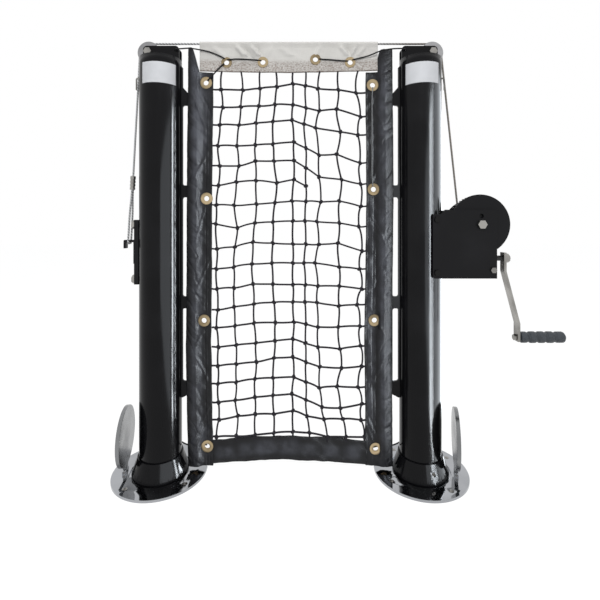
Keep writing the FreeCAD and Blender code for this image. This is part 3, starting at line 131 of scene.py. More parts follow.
class Side(Enum):
    """The two ends of the net."""

    ANCHOR = "anchor"
    WINCH = "winch"

    @property
    def spot(self) -> float:
        """X of the post's axis."""
        low, high = packed_box(self.named("post"))
        return (low.x + high.x) / 2

    @property
    def outward(self) -> int:
        """The sign of X that points away from the net."""
        return -1 if self is Side.ANCHOR else 1

    def named(self, part: str) -> str:
        """The name of this end's own part."""
        return f"{self.value}_{part}"

    def pick(self, values: Pair) -> float:
        """This end's own of two values, the anchor's first."""
        return values[0] if self is Side.ANCHOR else values[1]

    def inside(self, reach: float, y: float, z: float) -> Vector:
        """A point that lies reach from the post's axis towards the net."""
        return Vector((self.spot - self.outward * reach, y, z))


@dataclass(frozen=True)
class Fold:
    """A soft ridge of cloth, or a groove where its height is negative, along a line read from the photograph.

    The two ends are pixels of the photograph; the height and the width are millimetres.
    """

    start: Pair
    finish: Pair
    height: float
    width: float

    def lift(self, x: float, z: float) -> float:
        """How far the cloth stands towards the viewer at a place, in metres."""
        one, other = Photo.at(*self.start), Photo.at(*self.finish)
        run_x, run_z = other.x - one.x, other.z - one.z
        reach = math.hypot(run_x, run_z)
        along = ((x - one.x) * run_x + (z - one.z) * run_z) / reach
        across = ((x - one.x) * run_z - (z - one.z) * run_x) / reach
        past = max(0.0, -along, along - reach)
        spread = self.width * MM
        return self.height * MM * math.exp(-(across / spread) ** 2 - (past / (2 * spread)) ** 2)


@dataclass(frozen=True)
class SheenPatch:
    """A soft patch of painted sheen, where black coated cloth is coloured paler to stand for light catching it: its
    middle and half size in pixels, and its strength.
    """

    middle: Pair
    spread: Pair
    strength: float

    def tone(self, x: float, z: float) -> float:
        """How much painted sheen the cloth has at a place."""
        middle = Photo.at(*self.middle)
        scale = Photo.DISTANCE / Photo.FOCAL
        across = (x - middle.x) / (self.spread[0] * scale)
        up = (z - middle.z) / (self.spread[1] * scale)
        return self.strength * math.exp(-across ** 4 - up ** 4)


def lifted(folds: Sequence[Fold], x: float, z: float) -> float:
    """How far all of a cloth's folds lift it at a place."""
    return sum(fold.lift(x, z) for fold in folds)


def rubbed(sheen_patches: Sequence[SheenPatch], point: Vector) -> float:
    """How much painted sheen a cloth has at a point of its surface."""
    return sum(sheen.tone(point.x, point.z) for sheen in sheen_patches)


def smooth(value: float, low: float, high: float) -> float:
    """A smooth step from 0 below low to 1 above high."""
    share = min(1.0, max(0.0, (value - low) / (high - low)))
    return share * share * (3 - 2 * share)


def between(value: float, rows: Sequence[Pair]) -> float:
    """A table's value at a place: straight lines between its rows, level past its ends."""
    for (low, first), (high, second) in zip(rows, rows[1:]):
        if value <= high:
            return first + (second - first) * max(0.0, (value - low) / (high - low))
    return rows[-1][1]


class Nodes:
    """A node tree that is filled from empty."""

    def __init__(self, owner: bpy.types.Material | bpy.types.World) -> None:
        """Empty the owner's tree."""
        owner.use_nodes = True
        self.tree = owner.node_tree
        self.tree.nodes.clear()

    def feed(self, socket: Socket, value: object) -> None:
        """Link a wire or a socket, or set a plain value."""
        if isinstance(value, Wire):
            value = value.socket
        if isinstance(value, Socket):
            self.tree.links.new(value, socket)
        else:
            socket.default_value = value

    def node(self, kind: str, settings: dict[str, object] | None = None,
             sockets: dict[str | int, object] | None = None) -> bpy.types.Node:
        """A node with its settings set first and then its sockets fed.

        Args:
            kind: Blender's name of the node type.
            settings: The node's own properties.
            sockets: Values, wires or sockets by input name or number.

        Returns:
            The node.
        """
        item = self.tree.nodes.new(kind)
        for name, value in (settings or {}).items():
            setattr(item, name, value)
        for name, value in (sockets or {}).items():
            self.feed(item.inputs[name], value)
        return item

    def end(self, kind: str, shader: bpy.types.Node) -> None:
        """End the tree in an output node."""
        self.node(kind, None, {"Surface": shader.outputs[0]})


@dataclass(frozen=True)
class Wire:
    """A shader socket that Python's own arithmetic works on."""

    nodes: Nodes
    socket: Socket

    def _math(self, operation: str, *others: Wire | float) -> Wire:
        """One Math node on this value and others."""
        item = self.nodes.node("ShaderNodeMath", {"operation": operation}, dict(enumerate((self, *others))))
        return Wire(self.nodes, item.outputs[0])

    def __add__(self, other: Wire | float) -> Wire:
        """Sum."""
        return self._math("ADD", other)

    def __mul__(self, other: Wire | float) -> Wire:
        """Product."""
        return self._math("MULTIPLY", other)

    def larger(self, other: Wire | float) -> Wire:
        """The larger of this value and another."""
        return self._math("MAXIMUM", other)

    def wave(self) -> Wire:
        """Sine of this value in radians."""
        return self._math("SINE")

    def step(self, low: float, high: float) -> Wire:
        """A smooth step from 0 below low to 1 above high."""
        item = self.nodes.node("ShaderNodeMapRange", {"interpolation_type": "SMOOTHSTEP"},
                               {"Value": self, "From Min": low, "From Max": high})
        return Wire(self.nodes, item.outputs["Result"])


class Shader(Nodes):
    """One material's nodes, ending in a Principled shader."""

    def __init__(self, name: str) -> None:
        """Start a material with a bare Principled shader."""
        self.material = bpy.data.materials.new(name)
        super().__init__(self.material)
        self.surface = self.node("ShaderNodeBsdfPrincipled")
        self.end("ShaderNodeOutputMaterial", self.surface)
        self.coordinates = self.node("ShaderNodeTexCoord").outputs["Object"]

    def axis(self, name: str) -> Wire:
        """One of the object's coordinates as a value."""
        item = self.node("ShaderNodeSeparateXYZ", None, {"Vector": self.coordinates})
        return Wire(self, item.outputs[name])

    def speckle(self, scale: float, detail: float, stretch: Point = EVEN) -> Wire:
        """Noise between 0 and 1 on the object's coordinates, which are stretched along the axes."""
        place = self.node("ShaderNodeMapping", None, {"Vector": self.coordinates, "Scale": stretch})
        item = self.node("ShaderNodeTexNoise", None,
                         {"Vector": place.outputs["Vector"], "Scale": scale, "Detail": detail})
        return Wire(self, item.outputs["Fac"])

    def weave(self, threads: float) -> Wire:
        """The crests where threads along X cross threads along Z."""
        return (self.axis("X") * threads).wave() * (self.axis("Z") * threads).wave()

    def attribute(self, name: str) -> Wire:
        """A value that the piece's own mesh carries."""
        item = self.node("ShaderNodeAttribute", {"attribute_name": name})
        return Wire(self, item.outputs["Fac"])

    def blend(self, factor: Wire, first: Tint, second: Tint) -> Socket:
        """A colour that goes from the first to the second with the factor."""
        ends = [(*value, 1) if isinstance(value, tuple) else value for value in (first, second)]
        item = self.node("ShaderNodeMix", {"data_type": "RGBA"}, {0: factor, 6: ends[0], 7: ends[1]})
        return item.outputs[2]

    def relief(self, height: Wire, distance: float, strength: float) -> None:
        """Bump the surface by a height of up to a distance in metres."""
        item = self.node("ShaderNodeBump", None, {"Height": height, "Distance": distance, "Strength": strength})
        self.feed(self.surface.inputs["Normal"], item.outputs["Normal"])

    def set(self, **sockets: object) -> None:
        """Feed the Principled shader's inputs, named with underscores for spaces."""
        for name, value in sockets.items():
            self.feed(self.surface.inputs[name.replace("_", " ")], value)


def tinted(colour: Colour, share: float, more: float = 0.0) -> Colour:
    """A colour made brighter or darker."""
    return tuple(share * part + more for part in colour)


@dataclass(frozen=True)
class Finish:
    """A material by its name, and the record's slot that it fills."""

    name: str
    slot: str

    def make(self) -> bpy.types.Material:
        """Build the material."""
        shader = Shader(self.name)
        self.dress(shader)
        return shader.material

    def dress(self, shader: Shader) -> None:
        """Add the finish's own nodes."""
        raise NotImplementedError


@dataclass(frozen=True)
class Paint(Finish):
    """Enamel on steel: a smooth dark coat with a faint orange peel and a little dust."""

    colour: Colour
    roughness: float
    gloss: float = 0.125
    peel: float = 0.006

    def dress(self, shader: Shader) -> None:
        """Add the nodes."""
        dust = shader.speckle(9, 4).step(0.42, 0.75)
        grain = shader.speckle(260, 2)
        pale = tinted(self.colour, 1.25, 0.0016)
        shader.set(Base_Color=shader.blend(dust, self.colour, pale), Roughness=dust * 0.06 + self.roughness,
                   Specular_IOR_Level=self.gloss)
        shader.relief(grain, 0.0002, self.peel)


@dataclass(frozen=True)
class Metal(Finish):
    """Bare or plated metal with smears, brushed lines along one axis where it has them, and painted shade that colours
    it near black below a span of X where it has one.
    """

    colour: Colour
    roughness: float
    smear: float
    grain: float
    shade: float
    stretch: Point = EVEN
    shade_below_x: Pair | None = None

    def dress(self, shader: Shader) -> None:
        """Add the nodes."""
        cloud = shader.speckle(14, 5).step(0.35, 0.7)
        lines = shader.speckle(120, 3, self.stretch)
        tone = shader.blend(cloud, self.colour, tinted(self.colour, self.shade))
        # Painted shade: below the span of X the metal is coloured near black, standing in for shade.
        if self.shade_below_x:
            tone = shader.blend(shader.axis("X").step(*self.shade_below_x), (0.02, 0.02, 0.02), tone)
        shader.set(Base_Color=tone, Metallic=1.0, Roughness=cloud * self.smear + self.roughness)
        shader.relief(lines, 0.0003, self.grain)


@dataclass(frozen=True)
class Vinyl(Finish):
    """Black coated cloth: a fine woven base with a little random mottling, and painted sheen where it is coloured
    paler and bluer.
    """

    colour: Colour = (0.0065, 0.0065, 0.0075)
    # Colour of the painted sheen, which stands for light catching the cloth.
    rubbed: Colour = (0.060, 0.063, 0.075)
    threads: float = 5200.0

    def dress(self, shader: Shader) -> None:
        """Add the nodes."""
        # Painted sheen: the mesh's attribute colours patches paler, standing in for light on the cloth.
        sheen = shader.attribute("rubbed")
        cloud = shader.speckle(34, 5).step(0.36, 0.68)
        streak = shader.speckle(60, 3, (1, 1, 0.22)).step(0.35, 0.7)
        sheen_and_mottle = sheen * (cloud * 0.45 + streak * 0.25 + 0.42) + cloud * 0.05
        shader.set(Base_Color=shader.blend(sheen_and_mottle, self.colour, self.rubbed), Roughness=cloud * 0.12 + 0.31,
                   Specular_IOR_Level=0.22)
        shader.relief(shader.weave(self.threads) * 0.25 + shader.speckle(70, 4), 0.0012, 0.22)


@dataclass(frozen=True)
class Canvas(Finish):
    """The headband's pale woven canvas, coarser and browner along its lower strip, and darker still at the hem's very
    edge, where a shadow is painted.
    """

    colour: Colour = (0.585, 0.572, 0.545)
    # The soil colour, also used for the painted hem shadow.
    soiled: Colour = (0.25, 0.205, 0.18)
    threads: float = 3300.0

    def dress(self, shader: Shader) -> None:
        """Add the nodes."""
        # Soil on the lower strip, and the painted hem shadow at its edge.
        strip = shader.attribute("soiled")
        cloud = shader.speckle(16, 6).step(0.36, 0.72)
        thread = shader.speckle(700, 1, (1, 1, 0.35)).step(0.35, 0.75)
        coarse = shader.speckle(420, 2, (0.5, 1, 1.3)).step(0.42, 0.66)
        tint = shader.blend(cloud * 0.6 + thread * 0.18, self.colour, tinted(self.colour, 0.84))
        mottled = shader.blend(strip * (coarse * 0.75 + 0.2), tint, self.soiled)
        shader.set(Base_Color=mottled, Roughness=0.86, Specular_IOR_Level=0.2, Sheen_Weight=0.15)
        shader.relief(shader.weave(self.threads) * 0.5 + thread * 0.6 + coarse * strip, 0.0006, 0.5)


@dataclass(frozen=True)
class Twine(Finish):
    """Laid or braided cord: fine slanting strands with a little fuzz."""

    colour: Colour
    turns: float = 40.0
    roughness: float = 0.62

    def dress(self, shader: Shader) -> None:
        """Add the nodes."""
        fuzz = shader.speckle(420, 3)
        lay = ((shader.axis("X") + shader.axis("Z") + shader.axis("Y") * 0.6) * self.turns * 40).wave()
        pale = tinted(self.colour, 1.7, 0.003)
        shader.set(Base_Color=shader.blend(fuzz.step(0.4, 0.8), self.colour, pale), Roughness=self.roughness,
                   Specular_IOR_Level=0.25)
        shader.relief(lay * 0.5 + fuzz, 0.0003, 0.6)


@dataclass(frozen=True)
class CoatedCable(Finish):
    """Wire strand under a clear coat: pale at the anchor end, browner where it runs to the winch, with painted shade
    in the grooves between its strands.
    """

    pale: Colour = (0.50, 0.51, 0.52)
    brown: Colour = (0.20, 0.175, 0.15)
    # Colour of the painted shade in the grooves between the strands.
    groove: Colour = (0.10, 0.10, 0.10)
    change: Pair = (0.45, 0.66)

    def dress(self, shader: Shader) -> None:
        """Add the nodes."""
        far = shader.axis("X").step(*self.change)
        lay = ((shader.axis("Z") + shader.axis("X") * 0.9) * 900).wave()
        tone = shader.blend(far, self.pale, self.brown)
        # Painted shade: the troughs of the lay are coloured dark.
        groove_shaded = shader.blend(lay.step(-1.0, 0.4) * -1 + 1, tone, self.groove)
        shader.set(Base_Color=groove_shaded, Metallic=0.25, Roughness=0.32, Coat_Weight=0.5, Coat_Roughness=0.12)
        shader.relief(lay, 0.0004, 0.35)


@dataclass(frozen=True)
class Plain(Finish):
    """Rubber, vinyl film or wood: one body colour with a fine grain."""

    colour: Colour
    roughness: float
    scale: float = 160.0
    grain: float = 0.25
    contrast: float = 0.2
    stretch: Point = EVEN

    def dress(self, shader: Shader) -> None:
        """Add the nodes."""
        fine = shader.speckle(self.scale, 3, self.stretch)
        dark = tinted(self.colour, 1 - self.contrast)
        shader.set(Base_Color=shader.blend(fine.step(0.35, 0.7), self.colour, dark),
                   Roughness=fine * 0.1 + self.roughness)
        shader.relief(fine, 0.0003, self.grain)


class Palette:
    """Every finish of the object, made once."""

    def __init__(self) -> None:
        """Make the finishes."""
        finishes = (
            Paint("gloss_black_enamel", "post_paint", (0.0038, 0.0038, 0.0045), 0.13),
            Paint("satin_black_enamel", "satin_black", (0.0065, 0.0065, 0.0075), 0.34, 0.15, 0.03),
            Metal("mirror_chrome", "chrome_plate", (0.40, 0.41, 0.43), 0.05, 0.07, 0.02, 0.86),
            Metal("brushed_chrome", "lid_chrome", (0.24, 0.245, 0.25), 0.24, 0.1, 0.12, 0.8, (1, 1, 14)),
            Metal("zinc_plate", "bright_steel", (0.37, 0.36, 0.34), 0.26, 0.16, 0.08, 0.55),
            # The winch bolts carry painted shade: the two at the housing's left are coloured near black.
            Metal("part_painted_bolt", "bright_steel", (0.40, 0.39, 0.37), 0.26, 0.16, 0.08, 0.55,
                  shade_below_x=(0.74, 0.78)),
            Metal("dull_zinc", "galvanized_steel", (0.38, 0.39, 0.40), 0.42, 0.16, 0.1, 0.7),
            Metal("rolled_brass", "brass_eyelets", (0.50, 0.39, 0.235), 0.3, 0.15, 0.04, 0.45),
            Metal("dark_iron", "gear_iron", (0.10, 0.10, 0.10), 0.36, 0.2, 0.1, 0.6),
            Metal("sheave_steel", "sheave_grey", (0.42, 0.42, 0.43), 0.34, 0.2, 0.08, 0.6),
            Vinyl("black_coated_cloth", "black_vinyl"),
            Canvas("white_canvas", "white_canvas"),
            Twine("black_net_twine", "net_twine", (0.013, 0.0115, 0.0155)),
            Twine("black_lacing_cord", "black_cord", (0.005, 0.005, 0.006), 60, 0.55),
            Twine("grey_side_cord", "grey_cord", (0.16, 0.165, 0.17), 70, 0.7),
            Twine("sewing_thread", "black_vinyl", (0.06, 0.062, 0.07), 90, 0.6),
            Twine("pale_sewing_thread", "white_canvas", (0.66, 0.65, 0.62), 90, 0.8),
            CoatedCable("coated_strand_cable", "coated_cable"),
            Plain("slate_grip_rubber", "grip_rubber", (0.045, 0.052, 0.06), 0.5),
            Plain("blank_label_film", "label_vinyl", (0.56, 0.57, 0.59), 0.3, 40, 0.05, 0.06),
            Plain("turned_wood", "dowel_wood", (0.42, 0.29, 0.16), 0.55, 90, 0.2, 0.4, (1, 1, 0.06)))
        self.materials = {finish.name: finish.make() for finish in finishes}
        self.slots = {finish.name: finish.slot for finish in finishes}

    def __getitem__(self, name: str) -> bpy.types.Material:
        """The material of a finish."""
        return self.materials[name]


class Bench:
    """Makes finished pieces from bmesh forms and curves, and hangs them on the frame."""

    def __init__(self, palette: Palette) -> None:
        """Keep the finishes."""
        self.palette = palette

    def piece(self, name: str, form: Form, finish: str, stands_for: Sequence[str] = (),
              body: str = NET, bevel: float = 0.0, sharp: float = 35.0) -> bpy.types.Object:
        """Turn a form into a piece that rides on a body.

        Args:
            name: The piece's name.
            form: Its form, which is freed.
            finish: The name of its finish.
            stands_for: CAD nodes that it replaces.
            body: The CAD body that it moves with.
            bevel: Width of the rounding of its sharp edges.
            sharp: Angle in degrees past which an edge stays sharp.

        Returns:
            The object.
        """
        mesh = as_mesh(name, form)
        mesh.shade_smooth()
        mesh.set_sharp_from_angle(angle=math.radians(sharp))
        item = shown(name, mesh)
        if bevel:
            rounding = item.modifiers.new("rounding", "BEVEL")
            rounding.width = bevel
            rounding.segments = 2
            rounding.limit_method = "ANGLE"
            rounding.angle_limit = math.radians(sharp)
            rounding.harden_normals = True
        self.dressed(item, finish, body, stands_for)
        return item

    def refined(self, node: str, finish: str, bevel: float, body: str = NET) -> None:
        """A CAD node's own form, merged and with rounded edges."""
        form = bmesh.new()
        source = next(item for item in bpy.data.objects if item.get("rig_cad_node") == node)
        form.from_mesh(source.data)
        bmesh.ops.remove_doubles(form, verts=form.verts, dist=1e-6)
        bmesh.ops.dissolve_limit(form, angle_limit=math.radians(0.6), use_dissolve_boundaries=False,
                                 verts=form.verts, edges=form.edges)
        self.piece(f"{node}_finished", form, finish, [node], body, bevel, 32.0)

    def dressed(self, item: bpy.types.Object, finish: str, body: str, stands_for: Sequence[str]) -> None:
        """Give a piece its finish and its place in the frame."""
        item.data.materials.clear()
        item.data.materials.append(self.palette[finish])
        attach(item, body)
        if stands_for:
            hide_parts(*stands_for)
        LOG.info("made %s on %s", item.name, body)

    def free_cord(self, name: str, route: Route, radius: float, length: float, finish: str,
                  node: str, stiffness: str = "limp") -> None:
        """A taut cord whose two ends go into the object.

        Args:
            name: The piece's name.
            route: Control points of its centre line, from the point where it leaves the object.
            radius: The cord's radius.
            length: The cord's length in metres; not used.
            finish: The name of its finish.
            node: The CAD node that it stands for.
            stiffness: How stiff it is, in the frame's own words; not used.
        """
        item = shown(name, strand_curve(name, [route], radius, 6, 2))
        self.dressed(item, finish, NET, [node])

    def cloth(self, name: str, form: Form, finish: str, node: str, flat: Pair,
              rests_on: Sequence[str], pattern: tuple[str, Callable[[Vector], float]],
              ply: float = 1.0 * MM) -> None:
        """A sheet of cloth: an open skin that gets its thickness last.

        Args:
            name: The piece's name.
            form: The open skin, which is freed.
            finish: The name of its finish.
            node: The CAD node that it stands for.
            flat: Width and length of its cut; not used.
            rests_on: What holds it; not used.
            pattern: The attribute that its finish reads, and what gives its value at a point.
            ply: The cloth's thickness.
        """
        item = self.piece(name, form, finish, [node], sharp=80)
        label, value_at = pattern
        layer = item.data.attributes.new(label, "FLOAT", "POINT")
        for point, entry in zip(item.data.vertices, layer.data):
            entry.value = value_at(point.co)
        walled(item, ply, 0)

    def threads(self, name: str, routes: Sequence[Route], radius: float, finish: str) -> None:
        """Rows of stitches, each a short square thread."""
        self.piece(name, round_line(name, routes, radius, 1, 0), finish, sharp=60)


def shown(name: str, data: bpy.types.ID | None) -> bpy.types.Object:
    """An object in the scene that shows some data."""
    item = bpy.data.objects.new(name, data)
    bpy.context.scene.collection.objects.link(item)
    return item


def as_mesh(name: str, form: Form) -> bpy.types.Mesh:
    """A mesh with a form's shape; the form is freed."""
    mesh = bpy.data.meshes.new(name)
    form.to_mesh(mesh)
    form.free()
    return mesh


def strand_curve(name: str, routes: Sequence[Route], radius: float, smooth_steps: int,
                 roundness: int) -> bpy.types.Curve:
    """A curve with one smooth open spline for each route, with a round section and closed ends."""
    curve = bpy.data.curves.new(name, "CURVE")
    curve.dimensions = "3D"
    curve.bevel_depth = radius
    curve.bevel_resolution = roundness
    curve.resolution_u = smooth_steps
    curve.use_fill_caps = True
    for route in routes:
        spline = curve.splines.new("NURBS")
        spline.points.add(len(route) - 1)
        for point, place in zip(spline.points, route):
            point.co = (*place, 1)
        spline.order_u = 3
        spline.use_endpoint_u = True
    return curve


def round_line(name: str, routes: Sequence[Route], radius: float, smooth_steps: int,
               roundness: int) -> Form:
    """The skins of many fine strands in one form."""
    curve = strand_curve(name, routes, radius, smooth_steps, roundness)
    holder = shown(name + "_line", curve)
    scratch = bpy.data.meshes.new_from_object(holder)
    form = bmesh.new()
    form.from_mesh(scratch)
    bpy.data.objects.remove(holder)
    bpy.data.curves.remove(curve)
    bpy.data.meshes.remove(scratch)
    return form


def chain(form: Form, points: Iterable[Sequence[float]], closed: bool) -> list:
    """Vertices joined in a row by edges, which an operator then spins or extrudes.

    Args:
        form: The bmesh to draw in.
        points: Places of the vertices.
        closed: Whether the last joins the first.

    Returns:
        The vertices and edges.
    """
    corners = [form.verts.new(point) for point in points]
    pairs = list(zip(corners, corners[1:]))
    if closed:
        pairs.append((corners[-1], corners[0]))
    return corners + [form.edges.new(pair) for pair in pairs]


def spun(profile: Sequence[Pair], steps: int, closed: bool = False) -> Form:
    """A turned form: a profile of radius and height, spun once round Z."""
    form = bmesh.new()
    line = chain(form, [(radius, 0, height) for radius, height in profile], closed)
    bmesh.ops.spin(form, geom=line, cent=(0, 0, 0), axis=(0, 0, 1), angle=2 * math.pi, steps=steps, use_merge=True)
    bmesh.ops.remove_doubles(form, verts=form.verts, dist=1e-6)
    bmesh.ops.recalc_face_normals(form, faces=form.faces)
    return form


def cut(form: Form, inside: Callable[[Vector], bool]) -> None:
    """Take away the faces whose middle is inside."""
    gone = [face for face in form.faces if inside(face.calc_center_median())]
    bmesh.ops.delete(form, geom=gone, context="FACES")


def at_axis(side: Side, turn: float) -> Matrix:
    """A turn round Z, placed at a post's axis."""
    return Matrix.Translation((side.spot, 0, 0)) @ Matrix.Rotation(turn, 4, "Z")


def moved(form: Form, matrix: Matrix) -> Form:
    """The form, placed by a matrix."""
    bmesh.ops.transform(form, matrix=matrix, verts=form.verts)
    return form


def joined(forms: Iterable[Form]) -> Form:
    """Several forms in one."""
    whole = bmesh.new()
    for form in forms:
        scratch = as_mesh("scratch", form)
        whole.from_mesh(scratch)
        bpy.data.meshes.remove(scratch)
    return whole


def ripple(x: float, y: float, z: float) -> float:
    """Smooth noise about zero at a point."""
    return noise.noise(Vector((x, y, z)))


def skin(rows: Sequence[Sequence[Point]]) -> Form:
    """An open skin through rows with as many points each: a line of edges extruded to each row in turn."""
    form = bmesh.new()
    first = chain(form, rows[0], False)
    verts, edges = first[:len(rows[0])], first[len(rows[0]):]
    for row in rows[1:]:
        grown = bmesh.ops.extrude_edge_only(form, edges=edges)["geom"]
        fresh = {item for item in grown if isinstance(item, bmesh.types.BMVert)}
        verts = [next(edge.other_vert(corner) for edge in corner.link_edges if edge.other_vert(corner) in fresh)
                 for corner in verts]
        for corner, place in zip(verts, row):
            corner.co = place
        edges = [item for item in grown if isinstance(item, bmesh.types.BMEdge)
                 and item.verts[0] in fresh and item.verts[1] in fresh]
    bmesh.ops.recalc_face_normals(form, faces=form.faces)
    return form


def stitch_row(start: float, finish: float, step: float, length: float, crest: float,
               place: Callable[[float, int, float], Sequence[float]],
               skipped: Callable[[float], bool] = lambda at: False) -> list[Route]:
    """A row of stitches on both faces of a cloth.

    Args:
        start: Where the first stitch starts.
        finish: Where the row has ended.
        step: From one stitch to the next.
        length: A stitch's length.
        crest: How far its middle stands off the cloth, in millimetres.
        place: The point at a place along the row, on a face, at a lift in metres.
        skipped: Whether the stitch at a place is left out.

    Returns:
        The route of each stitch.
    """
    routes = []
    at = start
    while at < finish:
        if not skipped(at):
            for face in (-1, 1):
                routes.append([place(at + share * length, face, lift * MM)
                               for share, lift in ((0.0, 0.1), (0.5, crest), (1.0, 0.1))])
        at += step
    return routes


def walled(item: bpy.types.Object, thickness: float, offset: float) -> None:
    """Give an open skin its thickness as its last modifier."""
    wall = item.modifiers.new("wall", "SOLIDIFY")
    wall.thickness = thickness
    wall.offset = offset


@dataclass(frozen=True)
class Part:
    """A part that keeps its CAD form: the rounding of its edges is in millimetres, and OWN is a body of its own."""

    node: str
    finish: str
    bevel: float
    body: str = NET

    def build(self, bench: Bench, prefix: str = "") -> None:
        """Finish the part."""
        node = prefix + self.node
        bench.refined(node, self.finish, self.bevel * MM, self.body or node)


@dataclass
class Posts:
    """The two tubes with their labels and screws, and every metal part round them."""

    bench: Bench
    wall: float = 4.8 * MM
    notch_half: float = 8.5 * MM
    notch_floor: float = 1.010
    levels: tuple[float, ...] = (0.0, 0.25, 0.5, 0.75)
    steps: int = 128
    film: float = 0.35 * MM
    film_radius: float = 51.25 * MM
    film_turns: Pair = (0.22, -0.17)
    screw_ring: float = 95 * MM
    screw_turns: Pair = (188, -15.5)
    screw: tuple[Pair, ...] = ((0, 6.9), (3, 6.7), (5.6, 6.1), (3.1, 3.4), (3.1, 0.2), (0, 0.2))
    slot_height: float = 6.75 * MM
    slot_size: Point = (6 * MM, 1.1 * MM, 0.5 * MM)
    parts: tuple[Part, ...] = (
        Part("floor_sleeve", "dull_zinc", 0.4, FLOOR),
        Part("floor_plate", "mirror_chrome", 0.5, FLOOR),
        Part("lid", "brushed_chrome", 0.8, OWN),
        Part("lid_pin", "zinc_plate", 0.4, FLOOR),
        Part("head", "gloss_black_enamel", 0.6),
        Part("sheave", "sheave_steel", 0.3, OWN),
        Part("axle_bolt", "zinc_plate", 0.5),
        Part("lacing_rail", "gloss_black_enamel", 0.6),
        Part("collar", "gloss_black_enamel", 0.6),
        Part("collar_screw", "zinc_plate", 0.3),
        Part("finger_hook", "zinc_plate", 0.0),
    )

    def build(self) -> None:
        """Make both tubes and finish the metalwork round them."""
        for side in Side:
            self.tube(side)
            for part in self.parts:
                part.build(self.bench, f"{side.value}_")
            self.label(side)
            self.plate_screws(side)

    def tube(self, side: Side) -> None:
        """The post's tube: a turned wall with a notch for the sheave, thickened inwards."""
        low, high = packed_box(side.named("post"))
        radius = (high.y - low.y) / 2
        form = spun([(radius, level) for level in (low.z, *self.levels, self.notch_floor, high.z)], self.steps)
        cut(form, lambda at: at.z > self.notch_floor and at.x > 0 and abs(at.y) < self.notch_half)
        moved(form, at_axis(side, side.pick((math.pi, 0.0))))
        item = self.bench.piece(side.named("tube"), form, "gloss_black_enamel", [side.named("post")], sharp=50)
        walled(item, self.wall, -1)

    def label(self, side: Side) -> None:
        """The blank film label, wrapped round the front of the tube."""
        low, high = packed_box(side.named("label"))
        span = math.asin((high.x - low.x) / 2 / self.film_radius)
        form = bmesh.new()
        line = chain(form, [(0, -self.film_radius, z) for z in (low.z, low.z + 1 * MM, high.z - 1 * MM, high.z)],
                     False)
        bmesh.ops.rotate(form, verts=form.verts, cent=(0, 0, 0), matrix=Matrix.Rotation(-span, 3, "Z"))
        bmesh.ops.spin(form, geom=line, cent=(0, 0, 0), axis=(0, 0, 1), angle=2 * span, steps=40)
        bmesh.ops.recalc_face_normals(form, faces=form.faces)
        moved(form, at_axis(side, side.pick(self.film_turns)))
        item = self.bench.piece(side.named("blank_label"), form, "blank_label_film", [side.named("label")])
        walled(item, self.film, -1)

    def plate_screws(self, side: Side) -> None:
        """Four countersunk screws with crossed slots in the floor plate."""
        heads = []
        for quarter in range(4):
            angle = math.radians(side.pick(self.screw_turns)) + math.pi / 4 + quarter * math.pi / 2
            place = Matrix.Translation((side.spot + self.screw_ring * math.cos(angle),
                                        self.screw_ring * math.sin(angle), 0))
            heads.append(moved(spun([(radius * MM, height * MM) for radius, height in self.screw], 32), place))
            for cross in (0, math.pi / 2):
                bar = bmesh.new()
                bmesh.ops.create_cube(bar, size=1)
                bmesh.ops.scale(bar, vec=self.slot_size, verts=bar.verts)
                heads.append(moved(bar, place @ Matrix.Translation((0, 0, self.slot_height))
                                   @ Matrix.Rotation(angle + cross, 4, "Z")))
        self.bench.piece(side.named("plate_screws"), joined(heads), "zinc_plate", body=FLOOR)


@dataclass
class Hardware:
    """The cable hook at the anchor post, the ferrule, and the worm winch with its crank and grip."""

    bench: Bench
    parts: tuple[Part, ...] = (
        Part("hook_bar", "satin_black_enamel", 0.7),
        Part("cable_hook", "satin_black_enamel", 0.6),
        Part("hook_bolts", "zinc_plate", 0.6),
        Part("cable_ferrule", "zinc_plate", 0.4),
        Part("winch_housing", "satin_black_enamel", 0.6),
        Part("winch_bolts", "part_painted_bolt", 0.6),
        Part("drum_axle", "zinc_plate", 0.6),
        Part("worm_bearings", "satin_black_enamel", 0.6),
        Part("gear_guard", "satin_black_enamel", 0.5, "cable_drum"),
        Part("worm_wheel", "dark_iron", 0.0, "cable_drum"),
        Part("drum", "satin_black_enamel", 0.5, "cable_drum"),
        Part("worm_shaft", "dark_iron", 0.0, "crank"),
        Part("crank_arm", "zinc_plate", 1.2, "crank"),
        Part("crank_nut", "zinc_plate", 0.6, "crank"),
        Part("grip_bolt", "zinc_plate", 0.5, "crank"),
    )
    bore: float = 4.1 * MM
    lands: int = 5
    land: tuple[Pair, ...] = ((0.02, 2.4), (0.07, 0.8), (0.14, 0.1), (0.4, 0.0), (0.66, 0.1), (0.74, 0.8))
    groove: tuple[Pair, ...] = ((0.8, 2.4), (0.9, 2.9), (0.98, 2.9))
    taper: float = 0.97
    last_stretch: float = 1.25

    def build(self) -> None:
        """Finish the metal parts and make the grip."""
        for part in self.parts:
            part.build(self.bench)
        self.grip()

    def grip(self) -> None:
        """The moulded grip: rounded lands with grooves between them, tapering a little at its ends."""
        low, high = packed_box("crank_grip")
        length = high.x - low.x
        radius = (high.z - low.z) / 2
        step = length / self.lands
        profile = [(self.bore, 0.0)]
        for ring in range(self.lands):
            last = ring == self.lands - 1
            swell = radius * (1.0 if 0 < ring and not last else self.taper)
            for share, depth in self.land + (self.groove[:1] if last else self.groove):
                reach = share * (self.last_stretch if last else 1.0)
                profile.append((swell - depth * MM, ring * length / self.lands + min(reach, 1.0) * step))
        profile.append((self.bore, length))
        centre = (low + high) / 2
        form = moved(spun(profile, 56, closed=True), Matrix.Translation((low.x, centre.y, centre.z))
                     @ Matrix.Rotation(math.radians(90), 4, "Y"))
        self.bench.piece("grip_rubber", form, "slate_grip_rubber", ["crank_grip"], "grip", sharp=60)


